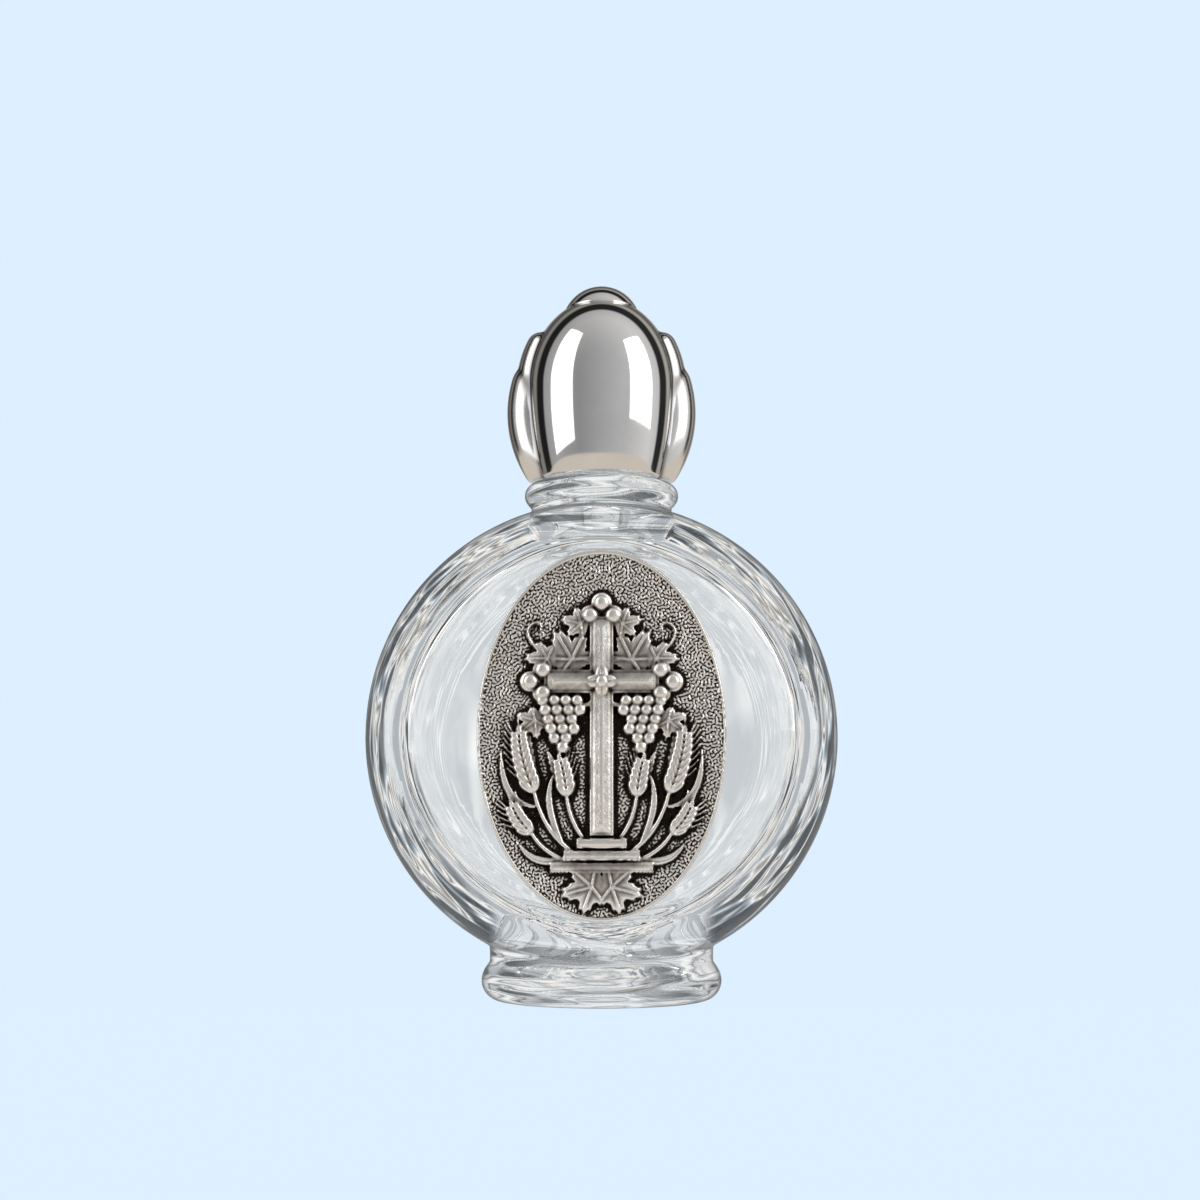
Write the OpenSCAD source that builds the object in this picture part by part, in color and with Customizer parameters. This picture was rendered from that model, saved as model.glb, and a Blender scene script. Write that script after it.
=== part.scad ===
// Small glass holy water flask: a round, flat-faced glass body on a rolled foot, a cast oval medallion
// bonded to the front face, and a polished screw cap with two side lobes and a domed button.
// Millimetres, +Z up, origin on the neck axis at the resting plane, medallion facing -Y.

/* [Flask] */
// Diameter of the round body, seen from the front
body_d = 46; // [42:0.5:52]
// Depth of the body, from flat face to flat face
body_depth = 22; // [20:0.5:26]
// Diameter of each flat face
face_d = 37; // [35:0.5:38]
// Radius of the edge round each flat face
face_edge_r = 3.2; // [2:0.1:3.8]
// Thickness of the glass behind each flat face
face_wall = 2.4; // [1.6:0.1:3]
// Thickness of the glass at the rim of the body
rim_wall = 2.9; // [1.8:0.1:3.4]
// Radius of the edge round each flat face of the hollow
hollow_edge_r = 6; // [5:0.1:6.4]
// Diameter of each flat face of the hollow
hollow_face_d = 26; // [24:0.5:27]
// Radius of the flare where the bore opens into the hollow
throat_r = 3; // [2:0.1:3.6]

/* [Foot] */
// Diameter of the rolled foot
foot_d = 23.3; // [22.6:0.1:26]
// Radius of the roll round the foot
foot_roll_r = 1.9; // [1.6:0.1:2.4]
// Diameter of the waist above the foot
waist_d = 21.7; // [20:0.1:21.9]
// Height at which the waist meets the round outline of the body
waist_h = 5.25; // [5:0.05:7]
// Radius of the fillet between the waist and the roll
waist_fillet_r = 0.8; // [0.4:0.1:1.2]
// Diameter of the hollow pressed up into the base
punt_d = 15; // [10:0.5:17]
// Height of the hollow pressed up into the base
punt_h = 1.8; // [0.6:0.1:2.4]

/* [Neck] */
// Diameter of the neck between the body and the bead
neck_d = 13.9; // [12.6:0.1:14.6]
// Length of the neck between the body and the middle of the bead
neck_h = 1.9; // [1.4:0.1:3]
// Radius of the fillet where the neck leaves the body
neck_fillet_r = 1.2; // [0.6:0.1:1.8]
// Diameter of the bead round the neck
bead_d = 15.2; // [14.8:0.1:16]
// Radius of the bead's section
bead_r = 1.15; // [0.8:0.05:1.4]
// Diameter of the screw finish above the bead, at the root of its thread
finish_d = 8.1; // [7.9:0.1:8.3]
// Height of the screw finish above the bead
finish_h = 8.4; // [7:0.1:9]
// Radius of the rounded lip
lip_r = 0.5; // [0.2:0.1:0.6]
// Diameter of the bore through the neck
bore_d = 6; // [5:0.1:6.2]

/* [Cap] */
// Largest diameter of the cap's egg-shaped body
cap_d = 14.9; // [14.2:0.1:16]
// Diameter of the cap's lower edge
cap_edge_d = 12.2; // [11.6:0.1:12.8]
// Height from the cap's lower edge to its widest level
cap_wide_h = 9.2; // [8.8:0.05:9.8]
// Height of the egg above its widest level, before its top is cut flat for the button
cap_dome_h = 9.25; // [8.8:0.05:9.8]
// Diameter of the threaded insert inside the cap
insert_d = 10.4; // [10.1:0.1:10.6]
// Diameter of the bore in the threaded insert, at the root of its thread
insert_bore_d = 9.3; // [9.1:0.1:9.5]
// Thickness of the top of the threaded insert
insert_top = 1; // [0.8:0.1:1.6]
// Thickness of the sealing disc
seal_t = 1; // [0.6:0.1:1.6]
// Diameter of the button's dome
button_d = 7.4; // [6.6:0.1:7.8]
// Height of the button's dome above its seat
button_h = 2.55; // [2:0.05:3.2]
// Diameter of the button's stem
stem_d = 2.6; // [2:0.1:3.4]
// Length of the button's stem
stem_h = 3; // [2:0.1:3.4]

/* [Cap lobes] */
// Width across the two lower lobes
lobe_span = 18.75; // [17.8:0.05:19.4]
// Radius of the curve down the outside of a lower lobe
lobe_curve_r = 12.2; // [11:0.1:13.4]
// Half width of a lower lobe's oval section
lobe_r = 2.7; // [2.3:0.1:3]
// Half depth of a lower lobe's oval section, from front to back
lobe_depth = 2.6; // [2.3:0.1:3]
// Height of the lower lobe's widest level below the cap's widest level
lobe_drop = 2.25; // [1.8:0.05:2.7]
// Width across the two upper lobes
crest_span = 16.9; // [16.4:0.1:17.4]
// Radius of the curve down the outside of an upper lobe
crest_curve_r = 10; // [9:0.1:11]
// Half width of an upper lobe's oval section
crest_r = 1.5; // [1.3:0.05:1.7]
// Half depth of an upper lobe's oval section, from front to back
crest_depth = 2.5; // [2.2:0.1:2.7]
// Height of the upper lobe's widest level above the cap's widest level
crest_rise = 0.5; // [0.2:0.05:0.9]

/* [Medallion] */
// Width of the oval medallion
medal_w = 23; // [21.6:0.2:24]
// Height of the oval medallion
medal_h = 34.3; // [33:0.1:35]
// Thickness of the medallion's plate at its ground
medal_t = 1.1; // [0.8:0.1:1.6]
// Width of the plain rim round the ground
rim_w = 0.35; // [0.3:0.05:0.6]
// Height of the plain rim above the ground
rim_h = 0.3; // [0.2:0.1:0.6]
// Height of the cross above the ground
cross_relief = 1.2; // [0.8:0.1:1.5]
// Width of the cross's arms
cross_w = 2.4; // [1.8:0.1:3]
// Height of the cross from its foot to the tip of its shaft
cross_h = 20.4; // [19:0.2:21]
// Reach of the cross's side arms from the shaft's middle
cross_reach = 5.4; // [5:0.1:5.8]
// Radius of the buds at the ends of the arms
bud_r = 1.05; // [0.8:0.05:1.2]
// Height of one step under the cross
step_h = 1.1; // [0.8:0.1:1.3]
// Distance of the medallion's middle below the middle of the body
medal_drop = 0.4; // [0:0.1:1]
// Thickness of the adhesive film behind the medallion
film_t = 0.25; // [0.1:0.05:0.4]
// Distance by which the film stays inside the medallion's edge
film_inset = 0.8; // [0.4:0.1:2]

/* [Fits] */
// Gap between the cap's lower edge and the bead
edge_gap = 0.3; // [0.3:0.05:0.6]
// Gap between the insert's lower edge and the bead
insert_gap = 0.6; // [0.4:0.05:1]
// Gap between the button's stem and the end of its hole
stem_gap = 0.3; // [0.2:0.05:0.6]

/* [Hidden] */
$fn = 96;
// Small overlap that makes joined volumes share material
eps = 0.05;

// Heights along the neck axis, from the resting plane up
body_r = body_d / 2;
neck_r = neck_d / 2;
waist_r = waist_d / 2;
body_z = waist_h + sqrt(pow(body_r, 2) - pow(waist_r, 2));
neck_z = body_z + sqrt(pow(body_r, 2) - pow(neck_r, 2));
bead_z = neck_z + neck_h;
bead_top_z = bead_z + bead_r;
lip_z = bead_top_z + finish_h;
seal_top_z = lip_z + seal_t;
insert_top_z = seal_top_z + insert_top;
cap_z = bead_top_z + edge_gap;
cap_wide_z = cap_z + cap_wide_h;
hollow_r = body_r - rim_wall;
// The flare starts just below the roof of the hollow
throat_z = body_z + sqrt(pow(hollow_r, 2) - pow(bore_d / 2 + throat_r, 2)) - throat_r / 10;

// The seat of the button is a flat that leaves a narrow ledge round the dome
button_ledge = 0.1;
button_seat_r = button_d / 2 + button_ledge;
button_z = cap_wide_z + cap_dome_h * sqrt(1 - pow(2 * button_seat_r / cap_d, 2));

// The medallion's own origin is the middle of its back face, with its +Z facing out of the flask
medal_y = body_depth / 2 + film_t;
relief_z = medal_t;

// Radius of an arc that spans a chord's half length with a given rise
function arc_r(half_chord, rise) = (pow(half_chord, 2) + pow(rise, 2)) / (2 * rise);

// Radius of the crown that meets two edge arcs of radius edge_r smoothly
function crown_r(rim_r, flat_r, half_depth, edge_r) =
    let (d = rim_r - flat_r, h = half_depth - edge_r)
    (pow(d, 2) + pow(h, 2) - pow(edge_r, 2)) / (2 * (d - edge_r));

// Half section of a flat-faced disc with rounded edges and a crowned rim
module disc_section(rim_r, flat_r, half_depth, edge_r) {
    edge_y = half_depth - edge_r;
    big_r = crown_r(rim_r, flat_r, half_depth, edge_r);
    crown_x = rim_r - big_r;
    // Points past the rim on the lines where the crown meets the edge arcs
    past = 1.2 * big_r / (big_r - edge_r);
    fan = [crown_x + (flat_r - crown_x) * past, edge_y * past];
    translate([0, -half_depth])
        square([flat_r, 2 * half_depth]);
    for (side = [-1, 1])
        translate([flat_r, side * edge_y])
            circle(edge_r);
    intersection() {
        translate([crown_x, 0])
            circle(big_r);
        polygon([[0, -edge_y], [flat_r, -edge_y], [fan.x, -fan.y], fan, [flat_r, edge_y], [0, edge_y]]);
    }
}

// Flat-faced disc that stands on its rim, with its axis along Y
module standing_disc(rim_r, flat_r, half_depth, edge_r) {
    translate([0, 0, body_z])
        rotate([90, 0, 0])
            rotate_extrude()
                disc_section(rim_r, flat_r, half_depth, edge_r);
}

// Concave fillet ring round a post of radius post_r, with its foot at height z
module fillet_ring(post_r, fillet_r, z) {
    rotate_extrude()
        difference() {
            translate([0, z - fillet_r])
                square([post_r + fillet_r, 2 * fillet_r]);
            translate([post_r + fillet_r, z + fillet_r])
                circle(fillet_r);
        }
}

module flask_neck() {
    fillet_ring(neck_r, neck_fillet_r, neck_z - neck_fillet_r / 2);
    translate([0, 0, body_z])
        cylinder(r = neck_r, h = bead_z - body_z);
    // Bead below the cap
    rotate_extrude() {
        translate([bead_d / 2 - bead_r, bead_z])
            circle(bead_r);
        translate([0, bead_z - bead_r])
            square([bead_d / 2 - bead_r, 2 * bead_r]);
    }
    // Screw finish with a rounded lip
    rotate_extrude() {
        translate([0, bead_z])
            square([finish_d / 2, lip_z - lip_r - bead_z]);
        translate([0, bead_z])
            square([finish_d / 2 - lip_r, lip_z - bead_z]);
        translate([finish_d / 2 - lip_r, lip_z - lip_r])
            circle(lip_r);
    }
}

module flask_foot() {
    roll_x = foot_d / 2 - foot_roll_r;
    // Rolled edge
    rotate_extrude() {
        square([roll_x, 2 * foot_roll_r]);
        translate([roll_x, foot_roll_r])
            circle(foot_roll_r);
    }
    // Fillet between the roll and the waist, drawn a little into the roll
    fillet_x = waist_r + waist_fillet_r;
    fillet_z = foot_roll_r + sqrt(pow(foot_roll_r + waist_fillet_r - eps / 2, 2) - pow(fillet_x - roll_x, 2));
    rotate_extrude()
        difference() {
            polygon([[roll_x, foot_roll_r], [fillet_x, fillet_z], [roll_x, fillet_z]]);
            translate([fillet_x, fillet_z])
                circle(waist_fillet_r);
        }
    // Waist that rises into the body, deep enough to meet both flat faces
    cylinder(r = waist_r, h = body_z - face_d / 2 + eps);
}

// Hollow of the flask, with the bore through the neck
module flask_hollow() {
    standing_disc(hollow_r, hollow_face_d / 2, body_depth / 2 - face_wall, hollow_edge_r);
    translate([0, 0, body_z])
        cylinder(d = bore_d, h = lip_z - body_z + eps);
    fillet_ring(bore_d / 2, throat_r, throat_z);
}

module punt() {
    ball_r = arc_r(punt_d / 2, punt_h);
    translate([0, 0, punt_h - ball_r])
        sphere(ball_r);
}

module glass_flask() {
    color("lightcyan", 0.4)
        difference() {
            union() {
                standing_disc(body_r, face_d / 2, body_depth / 2, face_edge_r);
                flask_neck();
                flask_foot();
            }
            flask_hollow();
            punt();
        }
}

// Places a child drawn flat, face up, against the front of the flask
module on_front(y) {
    translate([0, -y, body_z - medal_drop])
        rotate([90, 0, 0])
            children();
}

module oval(w, h) {
    scale([w / h, 1])
        circle(d = h);
}

// One straight arm of the cross with a ridge along its middle, from the origin along +Y
module cross_arm(length) {
    ridge_w = cross_w / 4;
    translate([0, length, relief_z])
        rotate([90, 0, 0])
            linear_extrude(length)
                polygon([[-cross_w / 2, -eps], [cross_w / 2, -eps], [cross_w / 2, cross_relief / 2],
                         [ridge_w / 2, cross_relief], [-ridge_w / 2, cross_relief],
                         [-cross_w / 2, cross_relief / 2]]);
}

// Three buds round the end of an arm that points along +Y
module trefoil_end() {
    sink = bud_r - cross_relief * 0.8;
    for (spot = [[0, bud_r * 1.1], [-bud_r, 0], [bud_r, 0]])
        translate([spot.x, spot.y, relief_z - sink])
            sphere(bud_r, $fn = 48);
}

// Levels on the medallion's face, measured from its middle
cross_foot_y = -9.4;
cross_bar_y = cross_foot_y + 0.7 * cross_h;
steps = 3;
step_w = 9.6;
step_taper = 2.4;

module cross() {
    translate([0, cross_foot_y, 0])
        cross_arm(cross_h);
    translate([0, cross_foot_y + cross_h, 0])
        trefoil_end();
    for (side = [-1, 1])
        translate([0, cross_bar_y, 0])
            rotate(side * 90) {
                cross_arm(cross_reach);
                translate([0, cross_reach, 0])
                    trefoil_end();
            }
}

// Steps under the cross, each narrower and standing further out than the one below
module cross_steps() {
    for (i = [0 : steps - 1]) {
        w = step_w - i * step_taper;
        rise = cross_relief * (0.6 + 0.2 * i);
        translate([-w / 2, cross_foot_y - (steps - i) * step_h, relief_z - eps])
            cube([w, step_h + eps, rise + eps]);
    }
}

// A stalk bows outwards on an arc, and its upper part carries pairs of plump grains
grain_r = 0.66;
stalk_r = 0.28;
stalk_bow_r = 14;
stalk_x = 7.2;
stalk_start = -52;
ear_start = -20;
ear_step = 4.6;
ear_pairs = 6;
module wheat() {
    translate([stalk_x - stalk_bow_r, 0, relief_z]) {
        rotate(stalk_start)
            rotate_extrude(angle = ear_start - stalk_start)
                translate([stalk_bow_r, 0])
                    circle(stalk_r, $fn = 24);
        for (i = [0 : ear_pairs - 1])
            rotate(ear_start + i * ear_step)
                for (side = [-1, 1])
                    translate([stalk_bow_r + side * grain_r * 0.8, 0, 0])
                        sphere(grain_r, $fn = 32);
        rotate(ear_start + ear_pairs * ear_step)
            translate([stalk_bow_r, 0, 0])
                sphere(grain_r, $fn = 32);
    }
}

// A bunch of grapes hangs as a triangle of berries
berry_r = 0.62;
berry_pitch = 1.12;
berry_rows = 4;
module grapes() {
    for (row = [0 : berry_rows - 1])
        for (i = [0 : berry_rows - 1 - row])
            translate([(i - (berry_rows - 1 - row) / 2) * berry_pitch, -row * berry_pitch * 0.86,
                       relief_z + berry_r * 0.25])
                sphere(berry_r, $fn = 32);
}

// A vine leaf of five points, its outline worked out round its middle, with its tip along +Y
leaf_r = 1.7;
leaf_t = 0.6;
leaf_points = 40;
module vine_leaf() {
    translate([0, 0, relief_z - eps])
        linear_extrude(leaf_t + eps)
            polygon([for (i = [0 : leaf_points - 1])
                let (a = 360 * i / leaf_points, r = leaf_r * (0.74 + 0.26 * abs(cos(2.5 * a))))
                [r * sin(a), r * cos(a)]]);
}

bunch_x = 3.7;
bunch_gap = 1.9;
leaf_rise = 3.1;
leaf_turn = 34;
module medallion() {
    color("dimgray")
        on_front(medal_y) {
            difference() {
                linear_extrude(medal_t + rim_h)
                    oval(medal_w, medal_h);
                translate([0, 0, medal_t])
                    linear_extrude(rim_h + eps)
                        oval(medal_w - 2 * rim_w, medal_h - 2 * rim_w);
            }
            cross();
            cross_steps();
            for (side = [0, 1])
                mirror([side, 0, 0]) {
                    wheat();
                    translate([bunch_x, cross_bar_y - bunch_gap, 0])
                        grapes();
                    translate([bunch_x, cross_bar_y + leaf_rise, 0])
                        rotate(-leaf_turn)
                            vine_leaf();
                }
        }
}

module medallion_adhesive() {
    color("whitesmoke", 0.6)
        on_front(body_depth / 2)
            linear_extrude(film_t)
                oval(medal_w - 2 * film_inset, medal_h - 2 * film_inset);
}

// Egg-shaped body of the cap: a barrel below its widest level, an oval dome above it
module cap_egg() {
    wide_r = cap_d / 2;
    barrel_r = arc_r(cap_wide_h, wide_r - cap_edge_d / 2);
    rotate_extrude() {
        intersection() {
            translate([wide_r - barrel_r, cap_wide_z])
                circle(barrel_r);
            translate([0, cap_z])
                square([wide_r, cap_wide_h]);
        }
        intersection() {
            translate([0, cap_wide_z])
                scale([1, cap_dome_h / wide_r])
                    circle(wide_r);
            translate([0, cap_wide_z])
                square([wide_r, button_z - cap_wide_z]);
        }
    }
}

// A bent bar of oval section with a slightly bulbous round tip: it follows a curve of outer radius curve_r
// down one side of the cap, from angle low to angle high, and reaches furthest out at half_span, level z
tip_bulge = 1.06;
module side_bar(half_span, curve_r, bar_r, bar_depth, z, low, high) {
    bend_r = curve_r - bar_r;
    translate([half_span - curve_r, 0, z])
        rotate([90, 0, 0]) {
            rotate(low)
                rotate_extrude(angle = high - low)
                    translate([bend_r, 0])
                        oval(2 * bar_r, 2 * bar_depth);
            // The bar's end lies just inside the tip
            rotate(high - atan(0.1 * bar_r / bend_r))
                translate([bend_r, 0, 0])
                    rotate_extrude()
                        intersection() {
                            oval(2 * bar_r * tip_bulge, 2 * bar_depth * tip_bulge);
                            translate([0, -2 * bar_depth])
                                square([2 * bar_r, 4 * bar_depth]);
                        }
        }
}

// The lower bar runs past the cap's edge, where it is cut off level
lobe_low = -62;
lobe_high = 16;
crest_low = -10;
crest_high = 27;
module cap_lobe() {
    side_bar(lobe_span / 2, lobe_curve_r, lobe_r, lobe_depth, cap_wide_z - lobe_drop, lobe_low, lobe_high);
    side_bar(crest_span / 2, crest_curve_r, crest_r, crest_depth, cap_wide_z + crest_rise, crest_low,
             crest_high);
}

module cap_shell() {
    color("silver")
        difference() {
            union() {
                cap_egg();
                for (side = [0, 1])
                    mirror([side, 0, 0])
                        cap_lobe();
            }
            // Level lower edge
            translate([0, 0, cap_z - body_r])
                cylinder(d = 2 * lobe_span, h = body_r);
            // Socket for the threaded insert
            translate([0, 0, cap_z - eps])
                cylinder(d = insert_d, h = insert_top_z - cap_z + eps);
            // Hole for the button's stem
            translate([0, 0, button_z - stem_h - stem_gap])
                cylinder(d = stem_d, h = stem_h + stem_gap + eps);
        }
}

module cap_button() {
    ball_r = arc_r(button_d / 2, button_h);
    color("silver")
        translate([0, 0, button_z]) {
            intersection() {
                translate([0, 0, button_h - ball_r])
                    sphere(ball_r);
                cylinder(d = button_d, h = button_h);
            }
            translate([0, 0, -stem_h])
                cylinder(d = stem_d, h = stem_h + eps);
        }
}

module cap_insert() {
    low_z = bead_top_z + insert_gap;
    color("white")
        difference() {
            translate([0, 0, low_z])
                cylinder(d = insert_d, h = insert_top_z - low_z);
            translate([0, 0, low_z - eps])
                cylinder(d = insert_bore_d, h = seal_top_z - low_z + eps);
        }
}

// The disc lies in the top of the insert, on the lip of the neck
seal_clear = 0.08;
module seal_disc() {
    color("ivory")
        translate([0, 0, lip_z])
            cylinder(d = insert_bore_d - 2 * seal_clear, h = seal_t);
}

glass_flask();
medallion();
medallion_adhesive();
cap_shell();
cap_button();
cap_insert();
seal_disc();
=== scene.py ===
"""Dresses the glass holy water flask: pressed glass, a cast silver medallion and a plated screw cap."""

import logging
import math
from dataclasses import dataclass, field
from enum import Enum
from typing import Callable, Sequence

import bmesh
import bpy
import numpy as np
from mathutils import Matrix, Vector


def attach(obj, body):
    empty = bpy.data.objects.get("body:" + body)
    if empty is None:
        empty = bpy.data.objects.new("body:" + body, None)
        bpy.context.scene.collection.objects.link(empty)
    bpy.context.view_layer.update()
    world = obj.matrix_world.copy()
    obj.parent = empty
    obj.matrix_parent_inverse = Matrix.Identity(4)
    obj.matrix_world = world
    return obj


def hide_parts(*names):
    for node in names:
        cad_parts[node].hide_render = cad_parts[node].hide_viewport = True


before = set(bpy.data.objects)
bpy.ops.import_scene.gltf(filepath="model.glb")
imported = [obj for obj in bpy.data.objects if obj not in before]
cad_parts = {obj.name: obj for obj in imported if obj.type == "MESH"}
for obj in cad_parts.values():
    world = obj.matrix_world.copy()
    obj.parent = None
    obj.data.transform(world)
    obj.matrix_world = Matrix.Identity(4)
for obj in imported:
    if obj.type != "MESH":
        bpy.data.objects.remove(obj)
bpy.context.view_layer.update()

LOG = logging.getLogger("holy_water_flask")
MM = 0.001
TURN = 2.0 * math.pi
HALVINGS = 44
FINE_STEPS = 4096
EVEN_SHARE = 0.25
TOUCH = 1e-4
CLEAR = 0.1
TINY = 1e-6
WHITE, BLACK = (1.0, 1.0, 1.0), (0.0, 0.0, 0.0)

Array = np.ndarray
Pair = tuple[float, float]
Triple = tuple[float, float, float]
Outline = list[Pair]
Stops = Sequence[tuple[float, Triple]]
Material = bpy.types.Material
Socket = bpy.types.NodeSocket
Sockets = bpy.types.bpy_prop_collection
Value = float | Socket


class Body(Enum):
    """The rigid bodies that the pieces ride on."""

    FLASK = "flask"
    SEAL = "seal"
    CAP = "cap"


class RayKind(Enum):
    """The kinds of ray that the studio's surfaces answer differently."""

    CAMERA = "Is Camera Ray"
    GLOSSY = "Is Glossy Ray"
    TRANSMISSION = "Is Transmission Ray"


def smooth_max(a: Array, b: Array | float, k: float) -> Array:
    """Greater of two values, with a rounded join of width k."""
    return np.maximum(a, b) + np.maximum(k - np.abs(a - b), 0.0) ** 2 / (4.0 * k)


def smooth_min(a: Array, b: Array | float, k: float) -> Array:
    """Lesser of two values, with a rounded join of width k."""
    return -smooth_max(-a, -b, k)


def ease(low: Array | float, high: Array | float, x: Array) -> Array:
    """Smooth step from 0 at low to 1 at high."""
    t = np.clip((x - low) / (high - low), 0.0, 1.0)
    return t * t * (3.0 - 2.0 * t)


def within(rise: Pair, fall: Pair, x: Array) -> Array:
    """Smooth step up over one stretch and down again over another."""
    return ease(*rise, x) * (1.0 - ease(*fall, x))


def partly(least: float, rise: Pair, x: Array) -> Array:
    """Smooth step from a least value to 1 over a stretch."""
    return least + (1.0 - least) * ease(*rise, x)


def bell(x: Array, width: float) -> Array:
    """Bell curve of height 1 round 0."""
    return np.exp(-(x / width) ** 2)


def polar_rows(reach: Array, angle: Array, z: Array) -> Array:
    """Rows of x, y, z from distances and directions round the upright axis."""
    return np.column_stack((reach * np.cos(angle), reach * np.sin(angle), z))


def arc_radius(half_chord: float, rise: float) -> float:
    """Radius of the arc over a chord of that half length, with that rise."""
    return (half_chord ** 2 + rise ** 2) / (2.0 * rise)


def ring_arc(centre: Pair, radius: float, start: float, end: float, count: int) -> Outline:
    """Points along an arc of a half outline.

    Args:
        centre: Radius and height of the arc's centre.
        radius: Radius of the arc.
        start: First angle in degrees, from straight out.
        end: Last angle in degrees.
        count: Number of points.

    Returns:
        The points as pairs of radius and height.
    """
    angles = np.radians(np.linspace(start, end, count))
    return [(centre[0] + radius * math.cos(a), centre[1] + radius * math.sin(a)) for a in angles]


def furthest(inside: Callable[[Array], Array], low: Array, high: Array) -> Array:
    """Finds by halving how far a form reaches along each ray.

    Args:
        inside: Tells which of the tried distances lie in the form.
        low: Distances that lie inside.
        high: Distances that lie outside.

    Returns:
        The distances to the form's skin.
    """
    for _ in range(HALVINGS):
        middle = (low + high) / 2.0
        held = inside(middle)
        low, high = np.where(held, middle, low), np.where(held, high, middle)
    return low


def put_in_scene(name: str, data: bpy.types.ID) -> bpy.types.Object:
    """Makes an object from its data and links it to the scene.

    Args:
        name: Name of the object.
        data: Its mesh, camera or light.

    Returns:
        The new object.
    """
    made = bpy.data.objects.new(name, data)
    bpy.context.scene.collection.objects.link(made)
    return made


@dataclass
class Piece:
    """One mesh in the making, in millimetres, what it stands for, and the angle past which its edges stay crisp."""

    name: str
    node: str
    body: Body
    slot: str
    sharp: float = 40.0
    mesh: bmesh.types.BMesh = field(default_factory=bmesh.new)

    def spin(self, outline: Outline, steps: int) -> None:
        """Turns a half outline once round the upright axis.

        Args:
            outline: Pairs of radius and height.
            steps: Number of faces round the axis.
        """
        points = [self.mesh.verts.new((r, 0.0, z)) for r, z in outline]
        edges = [self.mesh.edges.new(pair) for pair in zip(points, points[1:])]
        bmesh.ops.spin(self.mesh, geom=points + edges, cent=(0, 0, 0), axis=(0, 0, 1), angle=TURN, steps=steps,
                       use_merge=True)

    def points(self) -> Array:
        """Gives every point as a row of x, y, z."""
        return np.array([v.co[:] for v in self.mesh.verts])

    def move_to(self, rows: Array) -> None:
        """Moves every point to its row of x, y, z."""
        for vert, co in zip(self.mesh.verts, rows):
            vert.co = co

    def paint(self, name: str, values: Array) -> None:
        """Keeps a value at every point, for the material to read.

        Args:
            name: Name of the attribute.
            values: One value for each point.
        """
        layer = self.mesh.verts.layers.float.new(name)
        for vert, value in zip(self.mesh.verts, values):
            vert[layer] = value

    def stand_up(self, y: float, z: float) -> None:
        """Turns a piece that was made lying on its back to the front, with its origin at that depth and height."""
        matrix = Matrix.Translation((0.0, y, z)) @ Matrix.Rotation(math.pi / 2, 4, "X")
        bmesh.ops.transform(self.mesh, matrix=matrix, verts=self.mesh.verts)

    def finish(self, material: Material) -> None:
        """Closes the mesh, brings it to metres and puts it in the scene, on its body and in place of its node.

        Args:
            material: Finish of the piece.
        """
        bmesh.ops.remove_doubles(self.mesh, verts=self.mesh.verts, dist=TOUCH)
        bmesh.ops.recalc_face_normals(self.mesh, faces=self.mesh.faces)
        bmesh.ops.scale(self.mesh, vec=(MM, MM, MM), verts=self.mesh.verts)
        data = bpy.data.meshes.new(self.name)
        self.mesh.to_mesh(data)
        self.mesh.free()
        data.shade_smooth()
        data.set_sharp_from_angle(angle=math.radians(self.sharp))
        data.materials.append(material)
        piece = put_in_scene(self.name, data)
        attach(piece, self.body.value)
        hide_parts(self.node)
        LOG.info("%s: %d faces on body %s", self.name, len(data.polygons), self.body.value)


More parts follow.
